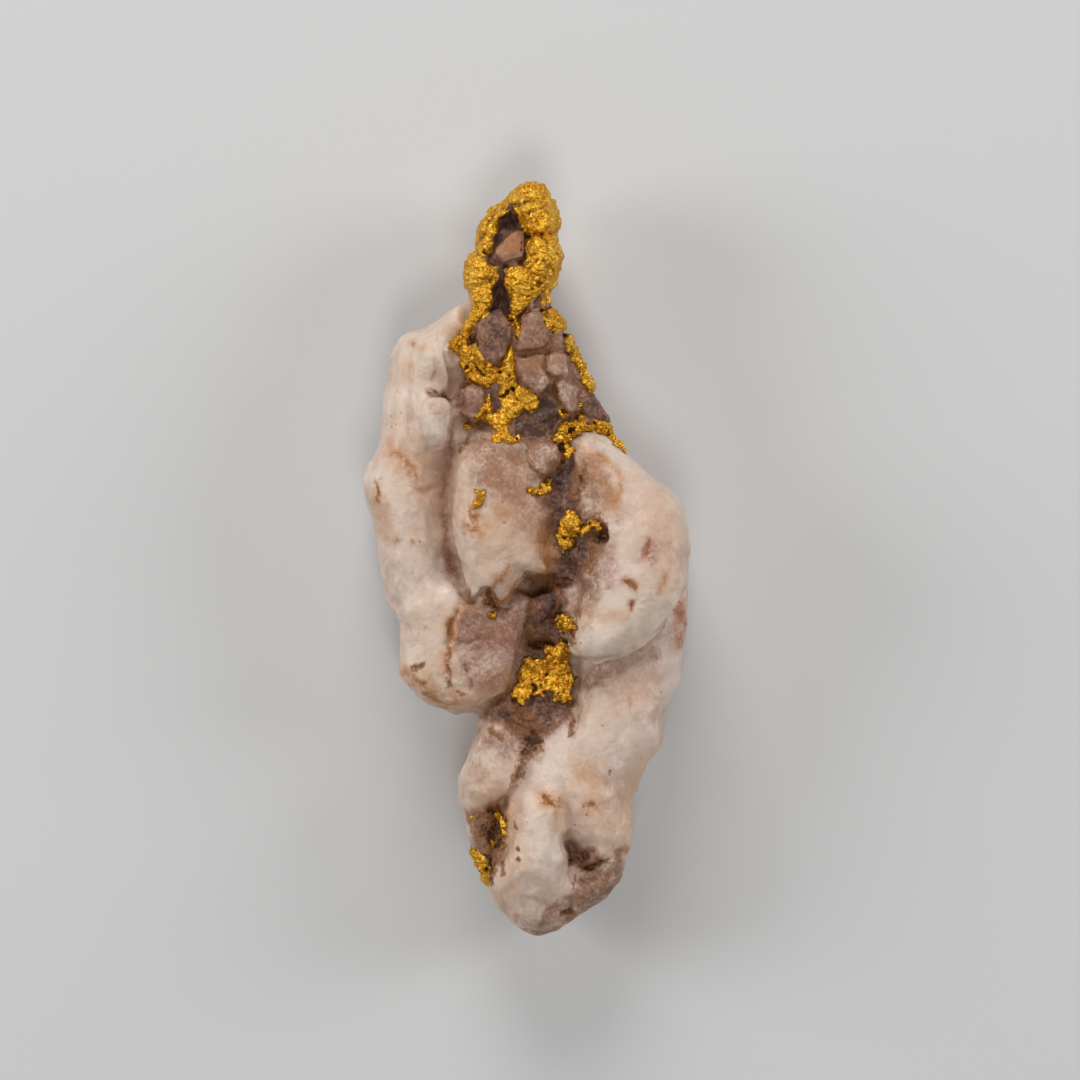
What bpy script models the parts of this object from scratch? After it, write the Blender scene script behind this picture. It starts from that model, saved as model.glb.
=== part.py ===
"""Gold in quartz: a hand specimen of white vein quartz that lies on its broken back, with native gold
grown over its narrow end and along the smoky seam down its face.

+Z is up, out of the face with the seam. +Y runs along the length towards the gold-capped tip, and +X
across it. The origin is on the surface that the specimen rests on, under the middle of its outline. The
tables of shapes are in millimetres, for a specimen 60 mm long, and MM turns them into metres."""

import math

import bmesh
import bpy
from mathutils import Matrix, Vector

# ---- driving dimensions, in metres
LENGTH = 0.060  # from the gold tip to the quartz toe
GAP = 0.0003  # clearance between the gold and the quartz that it lies on
GOLD_RISE = 0.00045  # how far the gold patches stand above the quartz
GOLD_ROOT = 0.00055  # and how deep they go into it
VOXEL = 0.00034  # grain of the solid that the quartz lobes are fused into
QUARTZ_TRIANGLES = 5600
CROWN_TRIANGLES = 2000
GUIDE_TRIANGLES = 6000  # of the surfaces that set where the gold lies

TABLE_LENGTH = 60.0  # length of the specimen in the tables below
MM = LENGTH / TABLE_LENGTH  # one unit of the tables, in metres

RINGS = 6  # rows of faces between a lobe's rim and its crest
RING_SPAN = 0.97  # share of the way from rim to crest that the rings climb, with a small face to close it
SMOOTH_STEPS = 4  # points made between two listed points of an outline
PRISM_TOP = 30.0  # height that cutting prisms run up to
WINDOW_FLOOR = 8.0  # depth that the windows in the gold are cut down to
GOLD_VOXEL = 0.0002  # grain of the solid that the gold lumps are fused into
# clouds that make a surface uneven: the size of their lumps, and how far these rise and sink
SWELLS = (4.0, 0.7)
GRAINS = (1.1, 0.25)
NUGGETS = (1.3, 0.5)
GOLD_WAVES = (1.2, 0.4)

# ---- the quartz: every lobe is an outline seen from above, a crest line over it, and the heights of its
# rim and belly
LOBES = {
    "upper_core": dict(
        outline=[(-4.5, 19.0), (-9.5, 16.0), (-10.5, 8.0), (-11.0, 2.0), (-9.0, -6.0), (-6.0, -10.5),
                 (2.0, -9.5), (8.0, -6.0), (11.8, -1.0), (11.5, 3.5), (7.0, 7.8), (5.2, 12.0),
                 (3.2, 16.0), (1.0, 19.5)],
        crest=[(-1.5, 13.0, 9.8), (-1.0, 4.0, 9.6), (-1.0, -4.0, 9.4)], rim=5.0, belly=-1.6, blunt=2.6),
    "lower_core": dict(
        outline=[(-3.4, -9.0), (-3.5, -13.0), (-4.4, -18.0), (-4.2, -22.0), (-2.6, -26.5), (0.5, -29.2),
                 (3.6, -28.2), (7.0, -25.6), (8.0, -20.0), (9.8, -15.0), (11.6, -10.0), (12.3, -5.0),
                 (6.0, -2.0), (-1.0, -3.0)],
        crest=[(3.0, -8.0, 9.0), (2.2, -15.0, 9.4), (1.8, -23.0, 9.2)], rim=4.6, belly=-1.2, blunt=2.5),
    "spire": dict(
        outline=[(-3.7, 19.0), (-4.0, 22.2), (-3.2, 24.2), (-3.1, 26.2), (-2.0, 27.6), (-0.4, 28.9),
                 (1.0, 28.8), (1.6, 27.2), (1.9, 25.2), (2.0, 23.4), (1.5, 21.2), (1.6, 19.5),
                 (2.6, 17.0), (0.0, 14.0), (-3.6, 15.0)],
        crest=[(-0.9, 26.2, 10.0), (-1.2, 22.0, 10.5), (-0.9, 17.5, 11.6)], rim=7.6, belly=4.6, blunt=2.2),
    "upper_wedge": dict(
        outline=[(-3.6, 20.2), (-4.7, 18.0), (-5.6, 15.5), (-5.8, 11.0), (-4.5, 7.0), (0.5, 5.0),
                 (5.5, 8.0), (6.6, 10.0), (6.6, 11.2), (5.6, 12.3), (4.9, 13.4), (4.5, 15.0), (3.6, 16.2),
                 (3.0, 17.8), (2.5, 19.1), (1.4, 20.2), (-1.0, 21.0)],
        crest=[(-0.8, 18.0, 11.6), (0.2, 14.0, 12.2), (0.6, 10.0, 11.9)], rim=7.0, belly=1.0, blunt=2.1),
    "left_slab": dict(
        outline=[(-4.5, 20.8), (-5.2, 20.3), (-5.9, 19.6), (-6.9, 18.8), (-8.0, 18.15), (-9.0, 18.15),
                 (-9.9, 17.7), (-10.5, 16.8), (-10.95, 15.4), (-10.95, 13.7), (-11.5, 13.0),
                 (-11.65, 10.4), (-11.8, 8.8), (-12.1, 7.8), (-12.9, 7.0), (-13.05, 6.0), (-12.9, 4.8),
                 (-12.4, 3.3), (-11.95, 1.5), (-11.65, -0.8), (-11.3, -2.6), (-10.9, -4.0), (-10.2, -4.7),
                 (-8.0, -6.0), (-6.4, -4.0), (-6.0, 0.0), (-6.6, 3.0), (-6.4, 7.0), (-5.9, 11.0),
                 (-5.2, 14.0), (-4.7, 17.5)],
        crest=[(-7.2, 17.2, 11.0), (-8.6, 14.0, 11.6), (-9.4, 9.0, 12.0), (-9.9, 4.0, 12.3),
               (-9.0, -2.5, 11.6)],
        rim=6.2, belly=0.6, blunt=2.0),
    "slab_head": dict(
        outline=[(-8.8, 17.4), (-6.2, 18.6), (-4.9, 17.6), (-5.0, 15.5), (-5.4, 13.5), (-7.3, 13.2),
                 (-8.7, 14.4)],
        crest=[(-6.9, 15.8, 12.7)], rim=8.5, belly=5.0, blunt=2.4),
    "slab_block": dict(
        outline=[(-8.2, 12.2), (-7.2, 12.9), (-5.5, 12.5), (-5.2, 10.8), (-5.5, 9.2), (-6.2, 8.4),
                 (-7.2, 8.5), (-8.4, 9.4), (-8.6, 10.9)],
        crest=[(-6.9, 11.5, 13.2), (-6.9, 9.9, 12.9)], rim=9.0, belly=5.0, blunt=2.6),
    "slab_shoulder": dict(
        outline=[(-12.3, 7.8), (-13.05, 6.6), (-12.9, 4.8), (-12.3, 3.4), (-10.6, 3.6), (-9.8, 5.8),
                 (-10.6, 7.6)],
        crest=[(-11.2, 5.6, 11.6)], rim=7.4, belly=4.0, blunt=2.2),
    "groove_floor": dict(
        outline=[(-7.6, 9.0), (-5.2, 9.4), (-4.6, 4.0), (-4.8, -1.5), (-6.2, -3.6), (-7.4, -2.0),
                 (-7.8, 3.0)],
        crest=[(-6.3, 7.6, 10.5), (-6.3, 2.6, 10.5), (-6.0, -1.6, 10.3)], rim=8.0, belly=4.0, blunt=3.0),
    "foot": dict(
        outline=[(-10.2, -3.4), (-9.95, -5.2), (-9.9, -6.6), (-9.95, -8.0), (-10.3, -9.0), (-9.9, -9.8),
                 (-8.7, -11.1), (-7.6, -11.8), (-6.5, -12.0), (-5.5, -12.5), (-4.5, -12.2), (-3.7, -11.9),
                 (-3.0, -11.0), (-2.0, -10.6), (-0.8, -9.9), (-0.4, -8.4), (0.1, -7.2), (0.3, -5.0),
                 (0.6, -3.0), (-0.5, -1.5), (-4.0, -1.0), (-8.0, -1.5)],
        crest=[(-8.2, -4.5, 11.9), (-7.0, -8.4, 11.9), (-2.4, -6.8, 11.6)], rim=7.4, belly=1.4, blunt=3.0),
    "tongue": dict(
        outline=[(-4.8, 10.3), (-3.2, 10.7), (-0.8, 9.6), (0.8, 8.4), (2.0, 6.4), (2.7, 4.4), (2.9, 2.0),
                 (3.1, 0.0), (2.8, -1.5), (1.4, -1.2), (0.1, -0.7), (-0.6, -1.8), (-1.5, -3.1),
                 (-2.3, -3.5), (-3.1, -3.0), (-4.0, -3.0), (-4.7, -1.8), (-5.7, 0.1), (-6.1, 2.4),
                 (-6.1, 5.0), (-5.7, 8.2)],
        crest=[(-3.5, 7.6, 12.6), (-3.2, 3.0, 13.2), (-2.4, -0.4, 12.8)], rim=8.4, belly=4.0, blunt=2.5),
    "right_shoulder": dict(
        outline=[(3.2, 9.6), (4.6, 10.2), (6.3, 9.7), (7.4, 8.6), (8.9, 7.6), (10.0, 6.4), (11.2, 5.6),
                 (12.1, 4.9), (12.5, 4.0), (12.75, 2.5), (13.0, 1.0), (12.9, -0.6), (12.9, -2.0),
                 (11.8, -3.3), (10.3, -5.2), (8.5, -6.9), (6.4, -7.7), (5.2, -8.0), (4.1, -7.6),
                 (3.3, -6.8), (3.7, -5.0), (3.9, -3.0), (4.0, 0.0), (3.5, 3.0), (2.8, 6.4)],
        crest=[(5.6, 6.2, 13.2), (8.2, 1.8, 14.6), (8.0, -2.0, 14.9), (6.2, -4.8, 14.4)], rim=8.6, belly=2.0,
        blunt=2.5),
    "lower_flank": dict(
        outline=[(3.6, -3.0), (8.0, -1.0), (11.6, -1.2), (13.0, -2.3), (12.95, -3.6), (12.95, -5.6),
                 (12.6, -7.4), (12.3, -9.4), (11.6, -11.2), (11.1, -12.6), (11.05, -14.0), (10.75, -15.2),
                 (9.9, -15.8), (9.6, -16.9), (9.0, -18.1), (8.5, -19.0), (8.45, -20.5), (8.55, -22.0),
                 (8.35, -23.2), (7.7, -24.4), (5.4, -23.9), (3.0, -22.6), (1.2, -20.2), (-0.2, -17.6),
                 (0.1, -15.6), (2.2, -14.2), (3.4, -12.2), (3.8, -8.0)],
        crest=[(9.4, -6.5, 11.2), (7.4, -12.0, 12.2), (5.2, -16.4, 11.8), (5.2, -20.8, 11.3)], rim=6.2,
        belly=0.4, blunt=2.4),
    "toe": dict(
        outline=[(-1.2, -18.8), (0.4, -17.8), (2.4, -18.6), (3.1, -21.0), (3.5, -24.0), (3.6, -26.5),
                 (3.2, -28.2), (2.3, -29.3), (1.3, -29.95), (0.3, -29.95), (-0.7, -29.3), (-1.5, -28.5),
                 (-2.2, -27.8), (-2.9, -26.9), (-3.3, -26.0), (-2.9, -24.8), (-2.0, -23.0), (-1.3, -20.8)],
        crest=[(0.9, -20.0, 12.7), (0.8, -24.4, 12.8), (0.7, -27.4, 10.9)], rim=6.8, belly=1.4, blunt=2.3),
    "toe_side": dict(
        outline=[(3.2, -24.7), (5.4, -24.3), (7.2, -23.2), (8.4, -23.2), (8.1, -24.8), (7.1, -26.4),
                 (5.6, -27.6), (4.5, -28.4), (3.4, -29.3), (2.3, -29.6), (2.2, -27.0)],
        crest=[(5.8, -25.2, 10.6), (4.0, -27.0, 10.4)], rim=6.4, belly=1.6, blunt=2.4),
    "lower_left": dict(
        outline=[(-3.5, -12.4), (-3.8, -13.9), (-4.4, -15.0), (-4.9, -16.2), (-5.4, -17.1),
                 (-5.55, -18.2), (-5.5, -19.4), (-4.8, -20.4), (-3.2, -20.2), (-1.8, -19.2),
                 (-0.7, -17.4), (-0.5, -15.2), (-1.6, -13.0)],
        crest=[(-2.9, -14.6, 10.9), (-3.1, -18.0, 11.4)], rim=6.8, belly=2.0, blunt=2.3),
    "lower_left_toe": dict(
        outline=[(-4.8, -19.8), (-4.85, -21.7), (-4.2, -23.1), (-3.8, -24.2), (-3.3, -25.3),
                 (-2.8, -26.6), (-1.2, -26.2), (-1.0, -22.6), (-1.6, -20.2), (-3.2, -19.4)],
        crest=[(-3.4, -21.4, 10.2), (-2.6, -24.8, 9.8)], rim=6.8, belly=2.0, blunt=2.4),
    "seam": dict(
        outline=[(0.6, 9.0), (3.6, 9.4), (4.6, 5.0), (5.4, 1.0), (4.6, -2.0), (4.2, -6.6), (4.4, -10.4),
                 (3.4, -13.8), (0.4, -15.0), (-1.8, -12.6), (-0.8, -9.0), (0.2, -5.0), (0.8, 0.0),
                 (0.6, 5.0)],
        crest=[(2.8, 6.0, 11.0), (3.6, 1.0, 10.9), (2.2, -4.0, 9.9), (1.6, -9.0, 9.7), (1.2, -12.6, 9.9)],
        rim=5.0, belly=2.0, blunt=2.6),
}

# ---- crystals that stand in the seam and round the gold, fused to the quartz that they grew on
CRYSTALS = {
    "window_crystal": dict(
        outline=[(-2.7, 24.0), (-2.4, 25.1), (-1.4, 25.7), (-0.5, 26.0), (-0.1, 25.2), (0.0, 24.0),
                 (-0.3, 23.3), (-1.4, 23.2), (-2.4, 23.3)],
        crest=[(-1.1, 24.4, 11.5)], rim=9.0, belly=7.0, blunt=2.4),
    "window_back": dict(
        outline=[(-2.1, 25.4), (-1.7, 26.8), (-1.0, 27.1), (-0.5, 26.8), (-0.6, 26.0), (-1.2, 25.3)],
        crest=[(-1.2, 26.3, 10.6)], rim=9.0, belly=7.0, blunt=3.0),
    "hexagonal_block": dict(
        outline=[(-4.4, 17.9), (-3.7, 18.9), (-2.2, 19.0), (-1.2, 18.3), (-1.0, 17.0), (-1.6, 15.9),
                 (-2.6, 15.2), (-3.6, 15.6), (-4.1, 16.6)],
        crest=[(-2.8, 17.4, 13.2), (-2.6, 16.4, 13.0)], rim=10.4, belly=8.0, blunt=4.0),
    "keystone_block": dict(
        outline=[(0.2, 19.6), (1.1, 19.5), (1.4, 18.4), (1.8, 16.9), (1.5, 16.35), (0.2, 16.5),
                 (-0.9, 16.1), (-0.8, 17.4), (-0.2, 18.8)],
        crest=[(0.6, 18.4, 12.9), (0.5, 17.2, 13.5)], rim=10.6, belly=8.0, blunt=4.5),
    "middle_block": dict(
        outline=[(-0.9, 15.7), (1.0, 15.9), (2.2, 15.9), (2.9, 15.6), (3.5, 14.4), (2.9, 13.7),
                 (2.0, 13.7), (1.9, 12.8), (0.9, 12.8), (-0.4, 13.5), (-1.0, 14.6)],
        crest=[(0.6, 14.8, 13.4), (2.4, 14.8, 13.5)], rim=10.8, belly=8.0, blunt=3.6),
    "thumb_block": dict(
        outline=[(2.5, 13.6), (3.1, 13.9), (3.8, 13.3), (4.0, 12.2), (3.6, 11.5), (2.9, 11.5), (2.4, 12.4)],
        crest=[(3.2, 13.0, 13.4), (3.2, 12.2, 13.2)], rim=10.4, belly=8.0, blunt=3.0),
    "side_block": dict(
        outline=[(1.9, 18.0), (2.8, 18.2), (3.2, 17.0), (3.6, 16.1), (3.0, 15.8), (1.9, 16.4)],
        crest=[(2.4, 17.0, 12.2)], rim=9.8, belly=7.0, blunt=3.6),
    "slope_block": dict(
        outline=[(4.1, 14.2), (4.9, 13.6), (5.6, 12.3), (6.7, 11.2), (6.7, 10.4), (5.4, 10.6), (4.3, 11.4)],
        crest=[(4.8, 12.6, 11.6), (5.7, 11.2, 10.8)], rim=8.0, belly=5.0, blunt=2.6),
    "pillar_block": dict(
        outline=[(-5.2, 12.7), (-4.5, 13.6), (-3.7, 13.3), (-3.3, 12.4), (-3.9, 11.2), (-4.5, 10.6),
                 (-5.1, 11.3)],
        crest=[(-4.4, 12.6, 12.9), (-4.4, 11.8, 12.8)], rim=10.2, belly=8.0, blunt=3.4),
    "smoky_facet": dict(
        outline=[(1.1, 12.5), (2.3, 12.2), (2.9, 11.2), (2.2, 9.8), (1.2, 9.3), (-0.6, 9.5), (-1.4, 10.2),
                 (-0.4, 11.5)],
        crest=[(0.8, 10.9, 12.7)], rim=10.6, belly=8.0, blunt=3.2),
    "wedge_crystal": dict(
        outline=[(0.1, 9.1), (1.4, 9.0), (2.7, 8.8), (2.4, 7.6), (1.5, 6.4), (0.8, 7.1)],
        crest=[(1.3, 8.3, 13.0)], rim=10.4, belly=8.0, blunt=3.4),
    "seam_knob_upper": dict(
        outline=[(1.9, 5.6), (3.1, 6.4), (3.8, 5.4), (3.6, 4.0), (2.4, 3.8)],
        crest=[(2.8, 5.0, 11.7)], rim=9.6, belly=8.0, blunt=2.6),
    "seam_knob_middle": dict(
        outline=[(4.0, 1.5), (5.6, 1.4), (5.9, 0.2), (5.2, -0.9), (3.8, -0.6)],
        crest=[(4.8, 0.4, 12.3)], rim=9.6, belly=8.0, blunt=2.6),
    "seam_knob_lower": dict(
        outline=[(1.1, -2.2), (2.7, -2.0), (3.3, -3.6), (2.6, -5.2), (1.2, -5.4), (0.7, -3.8)],
        crest=[(1.9, -3.4, 11.2), (1.8, -4.6, 10.9)], rim=9.0, belly=7.0, blunt=2.8),
    "ledge_under_gold": dict(
        outline=[(-2.6, -11.0), (-0.8, -10.6), (2.6, -11.0), (3.7, -12.2), (3.0, -13.8), (0.4, -13.4),
                 (-2.4, -13.2), (-3.6, -12.2)],
        crest=[(-0.6, -12.0, 10.3), (2.0, -12.2, 10.4)], rim=8.0, belly=6.0, blunt=2.6),
}

# ---- the broken back: each facet by a place on it and the way that it faces
BACK_FACETS = [
    ((0.0, -21.0, 0.0), (0.10, -0.36, -0.93)),  # rises to the toe
    ((-2.4, -15.5, 0.0), (-0.52, -0.10, -0.85)),
    ((7.0, -14.0, 0.0), (0.62, -0.20, -0.76)),
    ((-6.5, -6.0, 0.0), (-0.50, -0.14, -0.85)),
    ((-7.6, 3.0, 0.0), (-0.54, 0.06, -0.84)),
    ((8.6, 1.0, 0.0), (0.56, 0.05, -0.83)),
    ((-4.6, 12.0, 0.0), (-0.42, 0.36, -0.83)),
    ((3.6, 9.5, 0.0), (0.56, 0.28, -0.78)),
    ((0.0, 14.5, 0.0), (0.06, 0.38, -0.92)),  # rises to the gold
]
BLOCK = 90.0  # side of the block that the facets and the flat underside are cut on
BACK_SPARE = 0.35  # left under the back when it is broken, for the flat face that is cut last

# ---- the gold crown: lumps of gold that wrap the spire, and the windows where quartz shows through
CROWN_LUMPS = {
    "cap": dict(
        outline=[(0.4, 29.9), (1.2, 29.8), (1.75, 29.2), (2.0, 28.3), (2.0, 27.4), (0.8, 27.0),
                 (-0.4, 27.4), (-1.6, 27.6), (-1.5, 28.3), (-1.15, 29.0), (-0.5, 29.6)],
        crest=[(0.3, 28.7, 11.4)], rim=7.6, belly=3.2, blunt=2.2),
    "cap_knob": dict(
        outline=[(-0.2, 28.9), (1.0, 29.0), (1.5, 28.2), (0.8, 27.5), (-0.3, 27.6)],
        crest=[(0.5, 28.3, 12.4)], rim=10.0, belly=8.0, blunt=2.4),
    "left_temple": dict(
        outline=[(-0.9, 28.9), (-1.7, 28.2), (-2.5, 27.9), (-2.9, 27.2), (-3.2, 26.6), (-2.4, 25.9),
                 (-1.8, 26.9), (-1.0, 27.2), (-0.3, 27.6)],
        crest=[(-1.3, 27.9, 11.6), (-2.5, 26.9, 11.2)], rim=8.0, belly=4.8, blunt=2.1),
    "right_brow": dict(
        outline=[(1.9, 28.4), (2.4, 27.3), (2.6, 26.3), (2.3, 25.6), (0.9, 25.3), (-0.2, 26.1),
                 (-0.6, 26.8), (0.0, 27.7)],
        crest=[(1.3, 27.4, 12.0), (0.9, 26.2, 12.6)], rim=7.8, belly=3.2, blunt=2.2),
    "right_cheek": dict(
        outline=[(2.2, 25.7), (2.65, 24.9), (2.8, 24.0), (2.6, 22.9), (2.3, 22.0), (1.8, 21.2),
                 (0.6, 21.3), (-0.2, 22.4), (0.0, 23.4), (0.0, 25.4)],
        crest=[(1.3, 25.0, 12.5), (1.2, 23.2, 12.9), (1.0, 22.2, 12.6)], rim=7.8, belly=3.0, blunt=2.3),
    "right_jowl": dict(
        outline=[(1.9, 21.5), (1.6, 20.6), (0.9, 20.0), (0.2, 19.5), (-0.8, 18.7), (-1.5, 19.1),
                 (-1.8, 20.4), (-2.2, 21.4), (-2.2, 22.6), (-1.4, 23.1), (-0.2, 23.2), (0.8, 22.4)],
        crest=[(-0.7, 22.3, 12.8), (0.2, 20.9, 12.7), (-0.7, 19.8, 12.5)], rim=8.6, belly=4.4, blunt=2.6),
    "left_brow": dict(
        outline=[(-2.4, 26.9), (-3.1, 27.0), (-3.8, 26.3), (-3.85, 25.3), (-3.8, 24.2), (-2.9, 23.8),
                 (-2.4, 24.4), (-2.3, 25.6)],
        crest=[(-3.1, 26.2, 11.8), (-3.0, 24.8, 11.6)], rim=8.0, belly=4.6, blunt=2.1),
    "left_cheek": dict(
        outline=[(-3.6, 24.3), (-4.5, 23.7), (-4.9, 22.9), (-4.85, 22.0), (-4.5, 21.2), (-3.4, 20.9),
                 (-2.0, 21.4), (-1.8, 22.6), (-2.1, 23.4)],
        crest=[(-3.4, 23.4, 12.4), (-3.5, 22.0, 12.8)], rim=8.0, belly=3.4, blunt=2.2),
    "left_neck": dict(
        outline=[(-4.4, 21.4), (-4.3, 20.2), (-4.2, 19.1), (-3.4, 18.8), (-2.4, 19.3), (-2.3, 20.8),
                 (-2.5, 21.6)],
        crest=[(-3.4, 20.8, 12.6), (-3.5, 19.8, 12.5)], rim=8.8, belly=5.0, blunt=2.5),
}
WINDOWS = {
    "window": [(-2.6, 23.7), (-2.5, 24.7), (-2.3, 25.6), (-1.8, 26.6), (-1.1, 27.1), (-0.6, 26.9),
               (-0.75, 26.3), (-0.3, 25.9), (-0.1, 24.8), (0.0, 23.8), (-0.3, 23.2), (-1.4, 23.0),
               (-1.9, 23.1), (-2.5, 23.3)],
    "slit": [(-2.25, 23.3), (-1.85, 23.2), (-1.85, 21.8), (-1.6, 20.6), (-1.5, 18.6), (-2.6, 18.6),
             (-2.45, 20.4), (-2.15, 21.2)],
}

# ---- gold that runs over the quartz in shallow pockets: the lowest that it reaches, and its outline
ARMS = {
    "left_arm": (9.0, [
        (-4.4, 20.4), (-2.8, 20.2), (-2.9, 19.1), (-3.8, 18.9), (-4.4, 18.1), (-5.0, 17.3), (-4.8, 16.6),
        (-4.0, 16.5), (-3.9, 15.5), (-3.0, 15.2), (-2.2, 15.0), (-1.7, 15.8), (-1.3, 16.7), (-1.0, 16.7),
        (-0.9, 15.2), (-0.7, 14.2), (-0.3, 13.4), (0.5, 13.3), (1.1, 12.5), (1.0, 11.6), (0.0, 11.7),
        (-0.8, 11.0), (-1.4, 10.4), (-1.0, 9.4), (-1.9, 9.0), (-2.7, 9.3), (-2.5, 10.4), (-3.2, 11.0),
        (-4.0, 10.9), (-3.2, 12.1), (-2.9, 12.0), (-2.8, 11.4), (-2.0, 12.0), (-2.4, 13.4), (-3.4, 13.5),
        (-4.4, 14.0), (-5.2, 15.2), (-5.2, 15.9), (-6.0, 16.5), (-5.2, 17.8), (-4.2, 18.9), (-4.5, 19.6)]),
    "right_arm": (8.5, [
        (0.6, 20.6), (1.9, 20.8), (1.7, 19.9), (2.6, 19.4), (3.3, 18.4), (2.9, 18.2), (2.3, 17.6),
        (1.5, 18.4), (1.2, 19.3)]),
    "thread": (9.0, [
        (-1.5, 19.6), (-0.7, 19.6), (-0.9, 18.8), (-0.5, 18.1), (-0.6, 17.4), (-0.9, 16.2), (-1.4, 16.2),
        (-1.1, 17.6), (-1.6, 18.6)]),
}
PATCHES = {
    "gold_edge_strip": (8.6, [
        (2.9, 17.4), (3.3, 17.4), (3.9, 15.9), (4.7, 15.2), (5.3, 14.2), (5.3, 13.2), (4.6, 13.2),
        (4.4, 14.2), (3.8, 15.0), (3.2, 16.2)]),
    "gold_shoulder_patch": (9.5, [
        (2.1, 9.4), (2.6, 10.0), (3.0, 10.8), (3.6, 11.1), (4.2, 10.8), (4.5, 11.3), (4.8, 10.4),
        (5.2, 10.0), (4.2, 9.9), (3.9, 9.3), (3.4, 9.2), (3.8, 8.4), (3.3, 7.8), (2.9, 7.9), (3.2, 8.8),
        (2.8, 9.3)]),
    "gold_shoulder_rim": (9.2, [
        (5.3, 10.3), (5.6, 11.0), (6.4, 10.5), (7.2, 10.1), (7.9, 9.2), (7.8, 8.2), (7.2, 8.4), (6.6, 9.3),
        (5.9, 9.9)]),
    "gold_upper_chip": (9.5, [
        (0.0, 5.7), (0.6, 5.4), (1.2, 5.8), (1.6, 6.3), (2.0, 5.5), (1.7, 5.0), (0.5, 5.0)]),
    "gold_left_chip": (10.0, [
        (-4.2, 3.9), (-3.9, 4.6), (-4.1, 5.2), (-3.2, 5.2), (-3.3, 4.6), (-3.7, 4.1)]),
    "gold_centre_cluster": (10.2, [
        (2.4, 1.4), (2.9, 2.4), (2.8, 3.0), (3.5, 3.5), (4.2, 2.8), (4.8, 2.4), (5.0, 2.9), (5.8, 2.8),
        (5.7, 2.3), (4.9, 1.9), (4.0, 1.9), (3.8, 1.0), (3.3, 0.9), (2.9, 0.4)]),
    "gold_bead": (9.6, [
        (2.3, -4.8), (2.9, -4.4), (3.6, -4.6), (4.0, -5.5), (3.4, -5.7), (2.8, -5.4)]),
    "gold_lower_cluster": (8.5, [
        (-0.9, -11.1), (-0.4, -9.8), (-0.5, -8.8), (0.1, -8.6), (0.6, -7.9), (1.2, -8.2), (2.3, -7.9),
        (2.2, -7.2), (1.6, -7.4), (2.8, -6.5), (3.1, -7.6), (3.3, -8.8), (3.9, -9.3), (3.6, -10.2),
        (3.3, -11.2), (2.6, -11.5), (1.8, -10.7), (0.6, -10.8), (-0.3, -11.5)]),
    "gold_toe_seam": (8.2, [
        (-2.7, -20.2), (-2.2, -20.0), (-1.7, -20.6), (-1.5, -21.4), (-1.8, -22.4), (-2.6, -22.9),
        (-2.8, -22.4), (-2.2, -21.6)]),
    "gold_toe_edge": (6.8, [
        (-4.6, -23.1), (-3.9, -22.9), (-3.0, -23.7), (-2.7, -24.5), (-2.8, -25.8), (-3.5, -26.2),
        (-4.2, -25.0), (-4.8, -24.0)]),
}

QUARTZ_COLOUR = (0.74, 0.62, 0.53, 1.0)
GOLD_COLOUR = (0.83, 0.55, 0.13, 1.0)


def material(name, colour, roughness, metallic):
    """A Principled material with one colour, roughness and metallic value."""
    made = bpy.data.materials.new(name)
    made.use_nodes = True
    shader = made.node_tree.nodes["Principled BSDF"]
    shader.inputs["Base Color"].default_value = colour
    shader.inputs["Roughness"].default_value = roughness
    shader.inputs["Metallic"].default_value = metallic
    return made


def smooth_loop(points):
    """The closed Catmull-Rom curve through the listed points, with SMOOTH_STEPS points for each of them."""
    knots = [Vector(p) for p in points]
    count = len(knots)
    loop = []
    for i in range(count):
        a, b, c, d = (knots[(i + k) % count] for k in (-1, 0, 1, 2))
        for step in range(SMOOTH_STEPS):
            t = step / SMOOTH_STEPS
            loop.append(0.5 * (2 * b + (c - a) * t + (2 * a - 5 * b + 4 * c - d) * t**2
                               + (3 * b - a - 3 * c + d) * t**3))
    return loop


def nearest_on_crest(point, crest):
    """The place on the crest line that lies nearest to a point in plan, with its height."""
    knots = [Vector(p) for p in crest]
    best = knots[0]
    for a, b in zip(knots, knots[1:]):
        run = (b - a).xy
        t = min(1.0, max(0.0, (point - a.xy).dot(run) / run.length_squared))
        place = a.lerp(b, t)
        if (place.xy - point).length < (best.xy - point).length:
            best = place
    return best


def add_lobe(bm, outline, crest, rim, belly, blunt):
    """Adds a closed pebble: rings that climb from its outline to its crest line and, below, sink to its
    belly. blunt is the power of the superellipse that they follow: 2 is round, and more is flatter."""
    loop = smooth_loop(outline)
    feet = [nearest_on_crest(p, crest) for p in loop]
    rings = []
    for row in range(-RINGS, RINGS + 1):
        angle = RING_SPAN * math.pi / 2 * row / RINGS
        reach = math.cos(angle) ** (2 / blunt)
        climb = abs(math.sin(angle)) ** (2 / blunt)
        ring = []
        for place, foot in zip(loop, feet):
            plan = foot.xy + (place - foot.xy) * reach
            height = rim + ((foot.z if row > 0 else belly) - rim) * climb
            ring.append(bm.verts.new((plan.x * MM, plan.y * MM, height * MM)))
        rings.append(ring)
    count = len(loop)
    for lower, upper in zip(rings, rings[1:]):
        for i in range(count):
            j = (i + 1) % count
            bm.faces.new((lower[i], lower[j], upper[j], upper[i]))
    bm.faces.new(rings[0][::-1])
    bm.faces.new(rings[-1])


def lobes_object(name, lobes):
    """One object that holds the lobes as separate shells, for a voxel remesh to fuse."""
    bm = bmesh.new()
    for shape in lobes:
        add_lobe(bm, **shape)
    bmesh.ops.recalc_face_normals(bm, faces=bm.faces[:])
    return object_from(bm, name)


def object_from(bm, name):
    mesh = bpy.data.meshes.new(name)
    bm.to_mesh(mesh)
    bm.free()
    made = bpy.data.objects.new(name, mesh)
    bpy.context.scene.collection.objects.link(made)
    return made


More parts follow.
